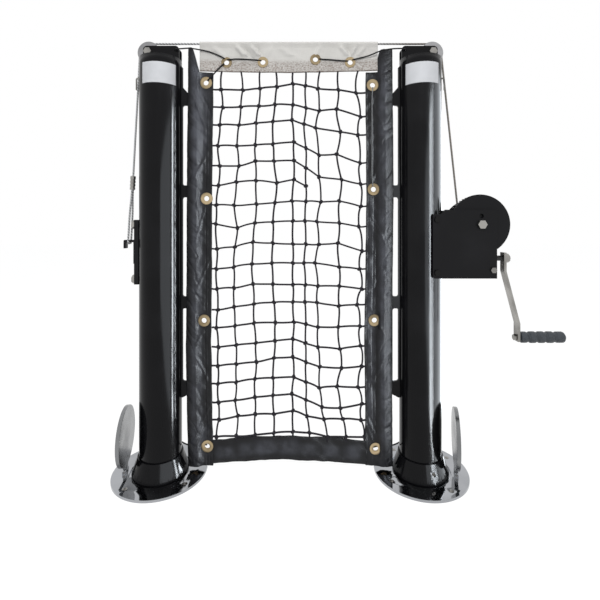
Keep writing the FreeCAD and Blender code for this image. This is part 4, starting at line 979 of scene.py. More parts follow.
@dataclass
class Cables:
    """The net's steel cable, from the ferrule over both sheaves to its turns on the drum, and the loop on the hook."""

    bench: Bench
    radius: float = 2.5 * MM
    length: float = 1.997
    loop_length: float = 0.283
    loop_reach: float = 71.0 * MM
    loop_lean: float = 0.0547
    arm: float = 6 * MM
    clear: float = 2.8 * MM
    turn_points: int = 40
    turn_start: float = 197.3
    turn_angle: float = 22.5
    turn_radius: float = 31.33 * MM
    turn_step: float = 0.35 * MM
    run: tuple[Point, ...] = (
        (-69.1, 0, 736), (-66.6, 0, 782), (-53.9, 0, 1013), (-52.6, 0, 1046.8), (-49.2, 0, 1056.2),
        (-42.3, 0, 1063.5), (-33, 0, 1067.5), (-3, 0, 1067.5), (324, 0, 1067.5), (651, 0, 1067.5),
        (680.5, 0, 1067.5), (688.9, 0, 1064.3), (695.6, 0, 1058.3), (699.8, 0, 1050.2), (703.5, 0, 1015.9),
        (723, 0, 833), (743.2, 0, 643.5))

    def drum_turns(self) -> list[Vector]:
        """The cable's two and a half turns round the drum."""
        low, high = packed_box("drum")
        centre = Vector(((low.x + high.x) / 2, 0, (low.z + high.z) / 2))
        points = []
        for step in range(self.turn_points):
            angle = math.radians(self.turn_start + self.turn_angle * step)
            points.append(centre + Vector((self.turn_radius * math.cos(angle), -self.turn_step * (step + 0.5),
                                           self.turn_radius * math.sin(angle))))
        return points

    def build(self) -> None:
        """Make the cable and its loop."""
        route = [Vector(point) * MM for point in self.run] + self.drum_turns()
        self.bench.free_cord("net_cable_strand", route, self.radius, self.length, "coated_strand_cable",
                             "net_cable", "stiff")
        self.loop()

    def loop(self) -> None:
        """The cable's loop: from the ferrule round the underside of the hook's arm and back."""
        top = packed_box("cable_ferrule")[0].z
        hook_low, hook_high = packed_box("cable_hook")
        half = (hook_high.y - hook_low.y) / 2 + self.clear
        under = hook_high.z - self.arm - self.clear

        def place(y: float, z: float) -> Vector:
            """A point of the loop's leaning plane."""
            return Vector((Side.ANCHOR.spot - self.loop_reach - (top - z) * self.loop_lean, y, z))

        down = [place(2.9 * MM, top + 1 * MM), place(2.9 * MM, top - 8 * MM), place(4 * MM, top - 24 * MM),
                place(7.6 * MM, top - 48 * MM), place(half, top - 70 * MM), place(half, under + 20 * MM),
                place(half, under + 5 * MM), place(half * 0.86, under + 0.6 * MM), place(half * 0.4, under - 0.2 * MM)]
        up = [Vector((point.x, -point.y, point.z)) for point in reversed(down)]
        self.bench.free_cord("cable_loop_strand", down + up, self.radius, self.loop_length, "coated_strand_cable",
                             "cable_loop", "stiff")


@dataclass
class Eyelets:
    """Rolled brass eyelets through cloth."""

    bench: Bench
    outer: float = 15.2 * MM
    hole: float = 6.4 * MM
    clear: float = 10.4 * MM
    rim: float = 2.1 * MM
    steps: int = 8

    def ring(self, place: Vector, half_cloth: float) -> Form:
        """One eyelet: a rolled rim on each face, joined by a barrel."""
        profile = []
        for step in range(self.steps + 1):
            angle = math.pi * step / self.steps
            profile.append((self.hole + (self.outer - self.hole) * (1 - math.cos(angle)) / 2,
                            half_cloth + self.rim * math.sin(angle) ** 0.8))
        loop = profile + [(radius, -height) for radius, height in reversed(profile)]
        form = spun(loop, 40, closed=True)
        return moved(form, Matrix.Translation(place) @ Matrix.Rotation(math.radians(90), 4, "X"))

    def open(self, cloth: Form, places: Sequence[Vector]) -> None:
        """Take the cloth away inside the eyelets' rims."""
        cut(cloth, lambda at: any(math.hypot(at.x - place.x, at.z - place.z) < self.clear for place in places))

    def build(self, name: str, node: str, places: Sequence[Vector], half_cloth: float) -> None:
        """The eyelets that one node stands for."""
        self.bench.piece(name, joined(self.ring(place, half_cloth) for place in places), "rolled_brass", [node],
                         sharp=50)


@dataclass
class SidePocket:
    """One side pocket of black coated cloth: it laps the rail, holds the dowel and ends in a flap.

    Its reaches are measured from the post's axis. The eyelets are their height and reach in millimetres; the
    crown, drift and swell are tables in millimetres, read at a height, a height and a place beside the dowel.
    """

    bench: Bench
    side: Side
    mouth: float = 69.9 * MM
    dowel: float = 86 * MM
    flap: float = 131 * MM
    shoulder: float = 994.6 * MM
    bottom: float = 16 * MM
    top: float = 1057 * MM
    row: float = 3.2 * MM
    steps: int = 40
    crown: tuple[Pair, ...] = ((994.8, 97.2), (1012, 92), (1034, 86), (1050, 81.5), (1057, 79))
    drift: tuple[Pair, ...] = ((16, 0.0), (320, -5.5), (680, -3.0), (960, 0.0), (1060, 0.0))
    swell: tuple[Pair, ...] = ((-16.2, 6.6), (-9, 8.9), (0, 10.6), (8, 9.6), (16, 5.4), (22, 2.6), (30, 1.6),
                               (50, 1.2))
    dowel_radius: float = 9.2
    least_half: float = 0.7 * MM
    lap: float = 8 * MM
    lap_half: float = 5.4 * MM
    eyelet_reach: float = 24 * MM
    eyelet_half: float = 0.9 * MM
    eyelet_gap: float = 15
    seams: Pair = (117.2, 123.5)
    seam_depth: float = 0.7 * MM
    seam_width: float = 1.5
    seam_step: float = 0.8 * MM
    eyelets: tuple[Pair, ...] = ()
    folds: tuple[Fold, ...] = ()
    # Patches of painted sheen, coloured paler where light would catch the cloth.
    sheen_patches: tuple[SheenPatch, ...] = ()
    seed: float = 0.0

    def width_at(self, z: float) -> float:
        """How far the cloth reaches from the post's axis at a height."""
        if z <= self.shoulder:
            return self.flap
        return between(z / MM, self.crown) * MM

    def drift_at(self, z: float) -> float:
        """How far the cloth has crept sideways at a height."""
        sag = 1.2 * ripple(z * 4.5, self.seed, 2.2)
        return (between(z / MM, self.drift) + sag) * MM

    def loose_at(self, reach: float) -> float:
        """How free the cloth is of the dowel, from 0 on it to 1 in the flap."""
        return smooth(reach - self.dowel, 8 * MM, 24 * MM)

    def sway(self, reach: float, z: float) -> float:
        """How far both plies of the flap stand behind the net's plane."""
        spot = self.side.inside(reach + self.drift_at(z), 0, z)
        s = self.seed
        waves = 2.4 * ripple(reach * 20 + z * 6, z * 8, s) + 2.4 * ripple((reach - 0.5 * z) * 46, z * 15, s + 4)
        waves += 1.5 * ripple((reach + 0.8 * z) * 70, z * 24, s + 9)
        return (waves * MM - lifted(self.folds, spot.x, spot.z)) * self.loose_at(reach)

    def proud(self, reach: float, z: float, face: int) -> float:
        """How far the cloth stands off the dowel's own round form."""
        spot = self.side.inside(reach + self.drift_at(z), 0, z)
        s = self.seed + 5 * face
        waves = 1.7 * ripple(reach * 30 + z * 12, z * 12, s) + 1.2 * ripple((reach + z) * 60, z * 34, s + 2)
        crease = 1 - abs(ripple((reach + 0.6 * z) * 34 + s, z * 22, 5.0)) * 2
        folds = lifted(self.folds, spot.x, spot.z) if face < 0 else 0.0
        return (waves - max(0.0, crease - 0.78) * 8) * 0.9 * MM + 1.1 * folds

    def y_at(self, reach: float, z: float, face: int) -> float:
        """Y of one ply at a reach from the post's axis and a height."""
        offset = (reach - self.dowel) / MM
        round_part = math.sqrt(max(0.0, self.dowel_radius ** 2 - offset ** 2)) * MM
        half = between(offset, self.swell) * MM + (1 - self.loose_at(reach)) * self.proud(reach, z, face)
        half -= sum(self.seam_depth * math.exp(-((reach / MM - seam) / self.seam_width) ** 2) for seam in self.seams)
        half += self.seam_step * smooth(reach / MM, self.seams[0], self.seams[0] + 2)
        half = max(half, round_part, self.least_half)
        if reach < self.mouth + self.lap:
            half = max(half, self.lap_half)
        sway = self.sway(reach, z)
        for height, eye in self.eyelets:
            away = math.hypot(z - height * MM, reach - eye * MM) / self.eyelet_reach
            if away < 1.6:
                pull = math.exp(-away ** 6) * smooth(reach - self.dowel, 8 * MM, 14 * MM)
                sway = sway * (1 - pull) + self.sway(eye * MM, height * MM) * pull
                half = max(half * (1 - pull) + self.eyelet_half * pull, round_part)
        return face * half + sway

    def heights(self) -> list[float]:
        """The heights of the cloth's rows: even steps to the shoulder, and again to the peak."""
        heights = [self.bottom]
        for level, start in ((self.shoulder, self.crown[0][0] * MM), (self.top, None)):
            while heights[-1] < level - self.row:
                heights.append(heights[-1] + self.row)
            heights += [level] if start is None else [level, start]
        return heights

    def rows(self) -> list[list[Point]]:
        """The cloth's rows from its foot to its peak, each round the flap's edge from lip to lip."""
        rows = []
        for z in self.heights():
            width = self.width_at(z)
            line = []
            for face in (-1, 1):
                for step in range(self.steps + 1):
                    share = (step if face < 0 else self.steps - step) / self.steps
                    reach = self.mouth + (width - self.mouth) * share
                    y = self.y_at(reach, z, face)
                    if z > self.shoulder:
                        y *= 1 - 0.35 * (z - self.shoulder) / (self.top - self.shoulder)
                        y *= math.sqrt(1 - 0.86 * smooth(share, 0.72, 1.0))
                    edge = ripple(z * 21 + self.seed, 3 * share, 1.7) * 1.1 * MM * share
                    line.append(tuple(self.side.inside(reach + self.drift_at(z) + edge, y, z)))
            rows.append(line)
        return rows

    def eyelet_places(self) -> list[Vector]:
        """The middle of each eyelet."""
        return [self.side.inside(reach * MM + self.drift_at(height * MM), self.sway(reach * MM, height * MM),
                                 height * MM) for height, reach in self.eyelets]

    def thread_at(self, seam: float, z: float, face: int, lift: float) -> Vector:
        """A point of the thread over one ply."""
        y = self.y_at(seam * MM, z, face) + face * lift
        return self.side.inside(seam * MM + self.drift_at(z), y, z)

    def at_eyelet(self, seam: float, z: float) -> bool:
        """Whether a stitch would meet an eyelet."""
        return any(math.hypot(z / MM + 2 - height, seam - eye) < self.eyelet_gap for height, eye in self.eyelets)

    def build(self) -> None:
        """Make the cloth with its holes, its eyelets and its seams, and the dowel inside it."""
        named = self.side.named
        form = skin(self.rows())
        places = self.eyelet_places()
        brass = Eyelets(self.bench)
        brass.open(form, places)
        self.bench.cloth(named("pocket_cloth"), form, "black_coated_cloth", named("side_pocket"),
                         (2 * (self.flap - self.mouth) + 14 * MM, self.top - self.bottom),
                         [named("dowel"), named("lacing_rail")], ("rubbed", partial(rubbed, self.sheen_patches)))
        brass.build(named("pocket_brass"), named("pocket_eyelets"), places, 1.8 * MM)
        routes = []
        for seam in self.seams:
            routes += stitch_row(self.bottom + 6 * MM, self.shoulder - 8 * MM, step=6.2 * MM, length=4.4 * MM,
                                 crest=0.95, place=partial(self.thread_at, seam),
                                 skipped=partial(self.at_eyelet, seam))
        self.bench.threads(named("pocket_stitches"), routes, 0.4 * MM, "sewing_thread")
        self.bench.refined(named("dowel"), "turned_wood", 0.8 * MM)


def side_pockets(bench: Bench) -> tuple[SidePocket, SidePocket]:
    """The two side pockets, with the folds and the patches of painted sheen that the photograph shows."""
    anchor = SidePocket(bench, Side.ANCHOR, seed=1.7,
                        eyelets=((970, 113.2), (681, 118), (377, 113.5), (63, 117)),
                        folds=(Fold((195, 98), (204, 124), 2.2, 3.0), Fold((201, 92), (210, 112), -1.8, 3.0),
                               Fold((209, 150), (196, 178), 1.6, 3.2), Fold((206, 205), (197, 240), 1.5, 2.6),
                               Fold((194, 230), (203, 236), -1.6, 2.0), Fold((193, 292), (203, 299), -1.6, 2.2),
                               Fold((209, 262), (199, 286), 1.6, 2.6), Fold((209, 318), (198, 342), 1.5, 2.8),
                               Fold((196, 352), (207, 378), 1.4, 2.6), Fold((209, 408), (196, 436), 2.0, 2.8),
                               Fold((207, 428), (193, 452), -2.0, 2.8), Fold((211, 436), (198, 458), 1.8, 2.6)),
                        # Patches of painted sheen along the lit bulge and hem.
                        sheen_patches=(SheenPatch((198, 130), (5.5, 75), 0.75), SheenPatch((202, 108), (8, 50), 0.6),
                              SheenPatch((198, 250), (5.5, 45), 0.7), SheenPatch((198, 335), (5.5, 42), 0.7),
                              SheenPatch((198, 420), (6, 45), 0.65), SheenPatch((205, 440), (6, 22), 0.35)))
    winch = SidePocket(bench, Side.WINCH, dowel=90 * MM, flap=136 * MM, top=1052 * MM, seed=5.1,
                       crown=((994.8, 106), (1030, 105.6), (1044, 103), (1052, 99)),
                       drift=((16, 0.0), (320, 3.0), (680, -2.5), (960, 0.0), (1060, 0.0)),
                       eyelets=((964, 118.5), (704, 119), (377, 112), (57, 111)), seams=(118.0, 131.0),
                       folds=(Fold((371, 100), (382, 128), 1.6, 3.0), Fold((383, 150), (372, 182), 1.6, 2.8),
                              Fold((371, 215), (383, 240), 1.5, 2.8), Fold((384, 262), (374, 290), -1.6, 2.6),
                              Fold((376, 250), (376, 430), -1.4, 2.2), Fold((370, 306), (382, 330), 1.4, 2.6),
                              Fold((383, 356), (372, 384), 1.6, 2.8), Fold((370, 418), (380, 442), -2.2, 2.8),
                              Fold((366, 424), (376, 448), 1.8, 2.8)),
                       # Patches of painted sheen along the lit bulge and hem.
                       sheen_patches=(SheenPatch((383, 130), (4.5, 72), 0.65), SheenPatch((384, 255), (5, 60), 0.75),
                             SheenPatch((385, 385), (5.5, 72), 0.75), SheenPatch((370.5, 350), (3.6, 90), 0.7),
                             SheenPatch((371, 225), (3.6, 30), 0.35)))
    return anchor, winch


@dataclass
class Headband:
    """The canvas band folded over the cable, with its hem, creases and eyelets."""

    bench: Bench
    bottom: float = 995.6 * MM
    crest: float = 1067.5 * MM
    roll: float = 4.7 * MM
    half: float = 1.2 * MM
    hem: float = 12 * MM
    hem_lift: float = 0.5 * MM
    flat_height: float = 0.159
    hang: tuple[Pair, ...] = ((0, 4.0), (0.25, 1.2), (0.5, 0.0), (0.75, 2.0), (1, 5.4))
    eyelets: tuple[Pair, ...] = ((226.7, 62.6), (263.1, 62.6), (315.5, 59.8), (350.2, 62.6))
    folds: tuple[Fold, ...] = (
        Fold((233, 42), (247, 59), 7.7, 5.1), Fold((248, 43), (261, 58), 7.2, 4.8),
        Fold((240, 42), (252, 58), -4.7, 4.8), Fold((255, 44), (262, 56), -3.5, 3.8),
        Fold((210, 44), (224, 58), 3.0, 6.4), Fold((338, 43.5), (346, 55), 6.5, 4.5),
        Fold((357, 45), (352, 55), 6.0, 4.2), Fold((346, 43), (350, 55), -4.2, 4.8),
        Fold((322, 44), (316, 55), 3.0, 5.1), Fold((366, 46), (355, 60), 3.4, 4.5),
        Fold((272, 46), (266, 60), 2.6, 4.8), Fold((283, 50), (304, 66), 2.6, 6.7))

    def section(self) -> list[Pair]:
        """Y against height of the cloth's middle, up the front, over the cable and down the back."""
        front = []
        steps = 24
        neck = self.crest - 9 * MM
        for step in range(steps + 1):
            z = self.bottom + (neck - self.bottom) * step / steps
            turned_up = self.hem_lift * smooth(self.bottom + self.hem - z, 0, 0.8 * MM)
            front.append((-self.half - turned_up, z))
        crown = []
        for step in range(13):
            angle = math.radians(205 - 230 * step / 12)
            crown.append((self.roll * math.cos(angle), self.crest + self.roll * math.sin(angle)))
        return front + crown + [(-y, z) for y, z in reversed(front)]

    def drop_at(self, z: float) -> float:
        """How far down the band a height is, from 0 at the cable to 1 at the hem."""
        return min(1.0, max(0.0, (self.crest - z) / (self.crest - self.bottom)))

    def crease(self, x: float, z: float) -> float:
        """How far both plies stand behind the net's plane."""
        long_wave = ripple(x * 15, z * 6, 2.0) * 1.6
        fold = ripple((x + 0.8 * z) * 34, z * 13, 4.0) * 1.5
        fine = ripple(x * 120, z * 110, 1.0) * 0.16
        shift = (long_wave + fold + fine) * MM - lifted(self.folds, x, z) * smooth(z, 1.012, 1.034)
        return max(shift, -0.9 * MM if z < 1.036 else -6.0 * MM) * smooth(self.drop_at(z), 0.0, 0.22)

    def hang_at(self, x: float) -> float:
        """How far the hem stands above its lowest place."""
        low, high = packed_box("headband")
        share = (x - low.x) / (high.x - low.x)
        return (between(share, self.hang) + ripple(x * 17, 3.3, 0) * 0.7) * MM

    def build(self) -> None:
        """Make the band, its eyelets and its rows of stitches."""
        low, high = packed_box("headband")
        rows = []
        steps = 190
        section = self.section()
        for step in range(steps + 1):
            x = low.x + (high.x - low.x) * step / steps
            hang = self.hang_at(x)
            rows.append([(x, y + self.crease(x, z), z + hang * self.drop_at(z)) for y, z in section])
        form = skin(rows)
        places = []
        for column, row in self.eyelets:
            place = Photo.at(column, row)
            places.append(Vector((place.x, self.crease(place.x, place.z), place.z)))
        brass = Eyelets(self.bench, outer=13.4 * MM, clear=9 * MM)
        brass.open(form, places)
        self.bench.cloth("headband_canvas", form, "white_canvas", "headband",
                         (high.x - low.x, self.flat_height), ["net_cable_strand"], ("soiled", self.soil_and_hem_shadow_at),
                         ply=0.9 * MM)
        brass.build("headband_brass", "headband_eyelets", places, 1.9 * MM)
        routes = []
        for level in (self.bottom + self.hem - 1.5 * MM, self.crest - 13 * MM):
            routes += stitch_row(low.x + 4 * MM, high.x - 8 * MM, step=5.2 * MM, length=3.8 * MM, crest=0.85,
                                 place=partial(self.thread_at, level))
        self.bench.threads("headband_stitches", routes, 0.3 * MM, "pale_sewing_thread")

    def soil_and_hem_shadow_at(self, point: Vector) -> float:
        """The mark along the band's foot: soil over the lower strip, and a painted hem shadow that darkens its very
        edge most.
        """
        rise = point.z - self.bottom - self.hang_at(point.x)
        # The first term is soil on the lower strip; the second is the painted hem shadow, darkest along the lowest two
        # millimetres.
        return smooth(0.034 - rise, 0.0, 0.014) + 1.6 * smooth(0.0022 - rise, 0.0, 0.0016)

    def thread_at(self, level: float, x: float, face: int, lift: float) -> Point:
        """A point of the thread along the band."""
        hem = self.hem_lift if level < self.bottom + self.hem else 0.0
        y = face * (self.half + hem + lift) + self.crease(x, level)
        return (x, y, level + self.hang_at(x) * self.drop_at(level))


@dataclass
class Mesh:
    """The knotted mesh, whose twine bows between its knots.

    A row of knots is the column and the row of each knot's pixel in turn, read from the photograph.
    """

    bench: Bench
    radius: float = 2.35 * MM
    knot_size: Point = (6.4 * MM, 4.2 * MM, 4.6 * MM)
    wrap: Pair = (4.1 * MM, 1.8 * MM)
    bows: tuple[float, ...] = (1.5, -1.3, 1.2, -1.0, 1.2, -1.0, 1.6, 2.0, 3.6)
    sags: Pair = (-1.9, 1.3)
    starts: tuple[float, ...] = (222, 241, 260, 276, 293, 306, 320, 338, 358)
    knots: tuple[tuple[float, ...], ...] = (
        (221, 89.5, 243, 90, 260, 88.4, 277, 87, 293, 84, 305.5, 86, 318, 88.6, 338.4, 90, 356, 93),
        (223, 107.4, 241, 107, 259, 106, 275, 104.5, 293, 105, 306, 108, 319.4, 111, 336.7, 109, 360.6, 116.6),
        (220, 125, 239, 125, 256, 123, 273, 121.5, 292, 120, 304, 124, 315.6, 128, 340.5, 132, 358, 135),
        (218, 146, 237, 146, 255.4, 145, 273, 144, 294, 142, 306, 148, 319, 155, 336.7, 154, 360, 163),
        (220, 166, 239, 166, 255.4, 161, 274, 161, 294, 160.5, 306, 168, 319, 177, 341.6, 179.5, 360.6, 184),
        (218.6, 185.5, 236.4, 182, 256, 180.6, 277, 183, 294, 179.5, 306, 186),
        (216.4, 205, 234, 205.4, 256.5, 204, 275, 202.7, 292, 201, 306, 201.5, 321, 202, 339.4, 201, 361, 206.5),
        (216, 224, 237.5, 228, 255, 223, 273, 222, 293, 221, 305, 221, 317, 221.7, 339.4, 223, 359, 226.6),
        (217, 249, 235, 247, 253, 242, 273, 243, 293, 244, 306, 244, 319, 244.5, 338, 243, 362, 251),
        (216.4, 269, 234, 267, 252, 264, 272, 263, 293, 263, 304, 263, 315, 263, 339.4, 267, 359.5, 269),
        (217, 289, 234, 288, 253, 284, 273, 284, 293, 284.6, 305.5, 285, 318, 286, 339.4, 286, 362, 289),
        (218, 310, 234, 307, 254, 304, 274, 302.5, 293, 302, 305, 302, 317, 302.5, 339, 306, 357, 304.6),
        (216.4, 328, 235, 326, 254, 323, 275.5, 322.5, 294, 322, 306, 324, 318, 327, 338.4, 327, 360, 326),
        (218.6, 347, 236.4, 345, 256, 343, 275, 341, 293, 339, 305.5, 343, 318, 347, 340, 349, 360.6, 346),
        (218, 366, 236.4, 364, 256.5, 362, 274, 358, 293, 357, 306, 362, 320, 367, 341.6, 368, 361.7, 366),
        (218, 384, 236.4, 382, 255, 379, 273, 378, 294, 377, 306, 382, 319.4, 388, 337, 386, 358, 387),
        (218.6, 402.5, 235.4, 400, 255, 397, 273, 395.5, 292, 394, 306, 400, 322, 407, 340.5, 408, 362, 404),
        (219, 420, 238, 416, 255.4, 414, 274, 414, 293, 411, 307, 416, 324, 419, 343, 419, 361, 420),
        (216.4, 437, 236.4, 436, 255, 435, 274, 433, 293, 432, 309.6, 433, 327.5, 437, 346, 437, 364.4, 437))

    def grid(self) -> list[list[Vector]]:
        """The place of every knot, row by row."""
        rows = []
        for row, line in enumerate(self.knots):
            places = [Photo.at(*pixel) for pixel in zip(line[::2], line[1::2])]
            for column, place in enumerate(places):
                place.y = random.Random(column * 101 + row * 7).uniform(-1.6, 1.6) * MM
            rows.append(places)
        return rows

    def stretch(self, one: Vector, other: Vector, seed: int, bow: float, sag: float) -> list[Vector]:
        """Two points of the twine between two knots, which bows sideways or hangs a little."""
        jitter = random.Random(seed)
        points = []
        run = (other - one).normalized()
        sideways = Vector((run.z, 0, -run.x))
        for share, strength in ((0.27, 1.0), (0.66, 0.8)):
            point = one.lerp(other, share) + sideways * (bow * strength + jitter.uniform(-0.5, 0.5)) * MM
            point.z -= sag * strength * MM
            point.y += jitter.uniform(-0.6, 0.6) * MM
            points.append(point)
        return points

    def rows(self, grid: list[list[Vector]]) -> list[list[Vector]]:
        """The lines of the twine that run across, each from the pockets' edges."""
        low, high = packed_box("net_mesh")
        routes = []
        for row, line in enumerate(grid):
            route = [Vector((low.x - 4 * MM, 0, line[0].z + 0.8 * MM))]
            for column, knot in enumerate(line):
                sag = random.Random(row * 53 + column * 17).uniform(*self.sags)
                route += self.stretch(route[-1], knot, row * 31 + column, 0, sag) + [knot]
            if len(line) == len(self.starts):
                ending = Vector((high.x + 4 * MM, 0, route[-1].z + 1.0 * MM))
                route += self.stretch(route[-1], ending, row * 31 + 29, 0, 0.9) + [ending]
            routes.append(route)
        return routes

    def uprights(self, grid: list[list[Vector]]) -> list[list[Vector]]:
        """The lines of the twine that run down, from inside the headband into the bottom band."""
        routes = []
        for column, start in enumerate(self.starts):
            head = Photo.at(start, 71)
            route = [Vector((head.x, 0, head.z))]
            side = 1
            for row, line in enumerate(grid):
                if column < len(line):
                    seed = 900 + column * 37 + row
                    route += self.stretch(route[-1], line[column], seed, side * self.bows[column], 0)
                    route.append(line[column])
                    side = -side
            route.append(Vector((route[-1].x, 0, route[-1].z - 12 * MM)))
            routes.append(route)
        return routes

    def build(self) -> None:
        """Make the twine and its knots."""
        grid = self.grid()
        forms = [round_line("mesh_lines", self.rows(grid) + self.uprights(grid), self.radius, 3, 1)]
        for row, line in enumerate(grid):
            for column, place in enumerate(line):
                forms.append(self.knot_form(place, row * 13 + column))
        self.bench.piece("net_twine_mesh", joined(forms), "black_net_twine", ["net_mesh"], sharp=60)

    def knot_form(self, place: Vector, seed: int) -> Form:
        """One knot: two crossed turns of twine."""
        turn = random.Random(seed).uniform(0, math.pi)
        knot = bmesh.new()
        bmesh.ops.create_icosphere(knot, subdivisions=2, radius=1)
        bmesh.ops.scale(knot, vec=self.knot_size, verts=knot.verts)
        bmesh.ops.rotate(knot, verts=knot.verts, cent=(0, 0, 0), matrix=Matrix.Rotation(turn, 3, "Y"))
        ring, cord = self.wrap
        wrap = spun([(ring + cord * math.cos(angle), cord * math.sin(angle))
                     for angle in (0, 1.26, 2.51, 3.77, 5.03)], 9, closed=True)
        moved(wrap, Matrix.Rotation(turn + 0.8, 4, "Y") @ Matrix.Rotation(0.5, 4, "X"))
        return moved(joined([knot, wrap]), Matrix.Translation(place))


@dataclass
class BottomBand:
    """The black coated band folded round the net's foot, which rises a little towards its middle."""

    bench: Bench
    half: float = 1.3 * MM
    spare: float = 3 * MM
    flat_height: float = 0.120
    seams: Pair = (0.9, 0.1)
    tops: tuple[Pair, ...] = ((0, 77.5), (0.25, 86), (0.5, 88.5), (0.75, 84), (1, 75.5))
    feet: tuple[Pair, ...] = ((0, 20.5), (0.25, 27), (0.5, 29), (0.75, 25), (1, 17.5))
    # Patches of painted sheen, coloured paler where light would catch the band.
    sheen_patches: tuple[SheenPatch, ...] = (
        SheenPatch((226, 452), (9, 6), 0.75), SheenPatch((246, 449), (8, 6), 0.55), SheenPatch((266, 447), (12, 7), 0.85),
        SheenPatch((290, 447), (10, 7), 0.8), SheenPatch((310, 449), (10, 6), 0.6), SheenPatch((331, 451), (8, 6), 0.75),
        SheenPatch((352, 452), (9, 7), 0.8))

    def swell(self, x: float, z: float) -> float:
        """How far the band stands off its plane."""
        return (ripple(x * 20, z * 16, 0.3) * 2.6 + ripple((x + z) * 50, z * 30, 2.3) * 2.2) * MM

    def level(self, x: float, share: float) -> float:
        """Height of a place, a share of the way up the band."""
        low, high = packed_box("bottom_band")
        along = min(1.0, max(0.0, (x - low.x) / (high.x - low.x)))
        foot, top = between(along, self.feet), between(along, self.tops)
        wave = ripple(x * 16, share * 4, 4.4)
        return (foot + (top - foot) * share + wave) * MM

    def build(self) -> None:
        """Make the band with its soft wrinkles and two rows of stitches."""
        low, high = packed_box("bottom_band")
        rows = []
        steps = 130
        rise = 17
        length = high.x - low.x + 2 * self.spare
        for step in range(steps + 1):
            x = low.x - self.spare + length * step / steps
            line = []
            for face in (-1, 1):
                for level in range(rise + 1):
                    share = (level if face > 0 else rise - level) / rise
                    z = self.level(x, share)
                    half = self.half * (0.45 + 0.55 * smooth(share, 0.0, 0.1))
                    line.append((x, face * half + self.swell(x, z), z))
            rows.append(line)
        self.bench.cloth("bottom_band_cloth", skin(rows), "black_coated_cloth", "bottom_band",
                         (length, self.flat_height), ["net_twine_mesh"], ("rubbed", partial(rubbed, self.sheen_patches)))
        routes = []
        for share in self.seams:
            routes += stitch_row(low.x + 3 * MM, high.x - 8 * MM, step=6 * MM, length=4.2 * MM, crest=0.95,
                                 place=partial(self.thread_at, share))
        self.bench.threads("bottom_band_stitches", routes, 0.35 * MM, "sewing_thread")

    def thread_at(self, share: float, x: float, face: int, lift: float) -> Point:
        """A point of the thread along the band."""
        z = self.level(x, share)
        return (x, face * (self.half + lift) + self.swell(x, z), z)


@dataclass(frozen=True)
class Lace:
    """One length of lacing: its route is in from the post, Y and height, in millimetres."""

    name: str
    side: Side
    node: str
    length: float
    route: tuple[Point, ...]
    finish: str = "black_lacing_cord"
    radius: float = 1.75


@dataclass
class Lacing:
    """The cords that lace the net to the posts and rails."""

    bench: Bench
    laces: tuple[Lace, ...] = (
        Lace("anchor_head_lace", Side.ANCHOR, "anchor_top_lacing", 0.1324, (
            (40, -9, 1047), (40, -20, 1046.5), (56, -18, 1048), (75, -13, 1052), (96, -8.6, 1050),
            (119, -5.4, 1047), (144, -4.6, 1038), (160, -4.6, 1029.5))),
        Lace("anchor_band_lace", Side.ANCHOR, "anchor_top_lacing", 0.0864, (
            (166, -4.6, 1026), (186, -4, 1029), (212, -3.8, 1027.5), (236, -4, 1026.5), (252, -4.6, 1024))),
        Lace("anchor_flap_lace", Side.ANCHOR, "anchor_top_lacing", 0.0602, (
            (159, -4.6, 1017), (146, -4.2, 1006), (136, -4.2, 994), (125, -4.3, 982), (117, -4.4, 974))),
        Lace("winch_head_lace", Side.WINCH, "winch_top_lacing", 0.1410, (
            (40, -9, 1047), (40, -20, 1047.5), (58, -18.5, 1048.5), (75, -15.2, 1049), (92, -14, 1047),
            (108, -12.4, 1043), (126, -7.6, 1036), (148, -4.8, 1031), (170, -4.6, 1026))),
        Lace("winch_band_lace", Side.WINCH, "winch_top_lacing", 0.0742, (
            (180, -4.6, 1023), (202, -3.8, 1024.5), (228, -3.8, 1027), (254, -4.6, 1028))),
        Lace("anchor_foot_lace", Side.ANCHOR, "anchor_bottom_tie", 0.1355, (
            (114.2, 4.6, 63), (100, 11, 60), (82, 17.5, 56), (66, 21, 52.5), (52, 31, 50.8), (36, 44, 50.1),
            (14, 54.5, 50.1), (-8, 54.6, 50.1))),
        Lace("winch_foot_lace", Side.WINCH, "winch_bottom_tie", 0.1389, (
            (118.8, 4.6, 57), (105, 11, 56), (86, 17.5, 54), (68, 21, 51.6), (52, 31, 50.5), (36, 44, 50.1),
            (14, 54.5, 50.1), (-8, 54.6, 50.1))),
        Lace("winch_side_lace", Side.WINCH, "winch_side_cord", 0.2462, (
            (119, -4.4, 958), (121.5, -3.9, 930), (120.5, -3.5, 880), (121.2, -3.4, 830), (120.6, -3.4, 780),
            (121.4, -3.9, 735), (119, -4.4, 712)), "grey_side_cord", 1.3))

    def build(self) -> None:
        """Make every lace."""
        for lace in self.laces:
            route = [lace.side.inside(reach * MM, y * MM, z * MM) for reach, y, z in lace.route]
            self.bench.free_cord(lace.name, route, lace.radius * MM, lace.length, lace.finish, lace.node)


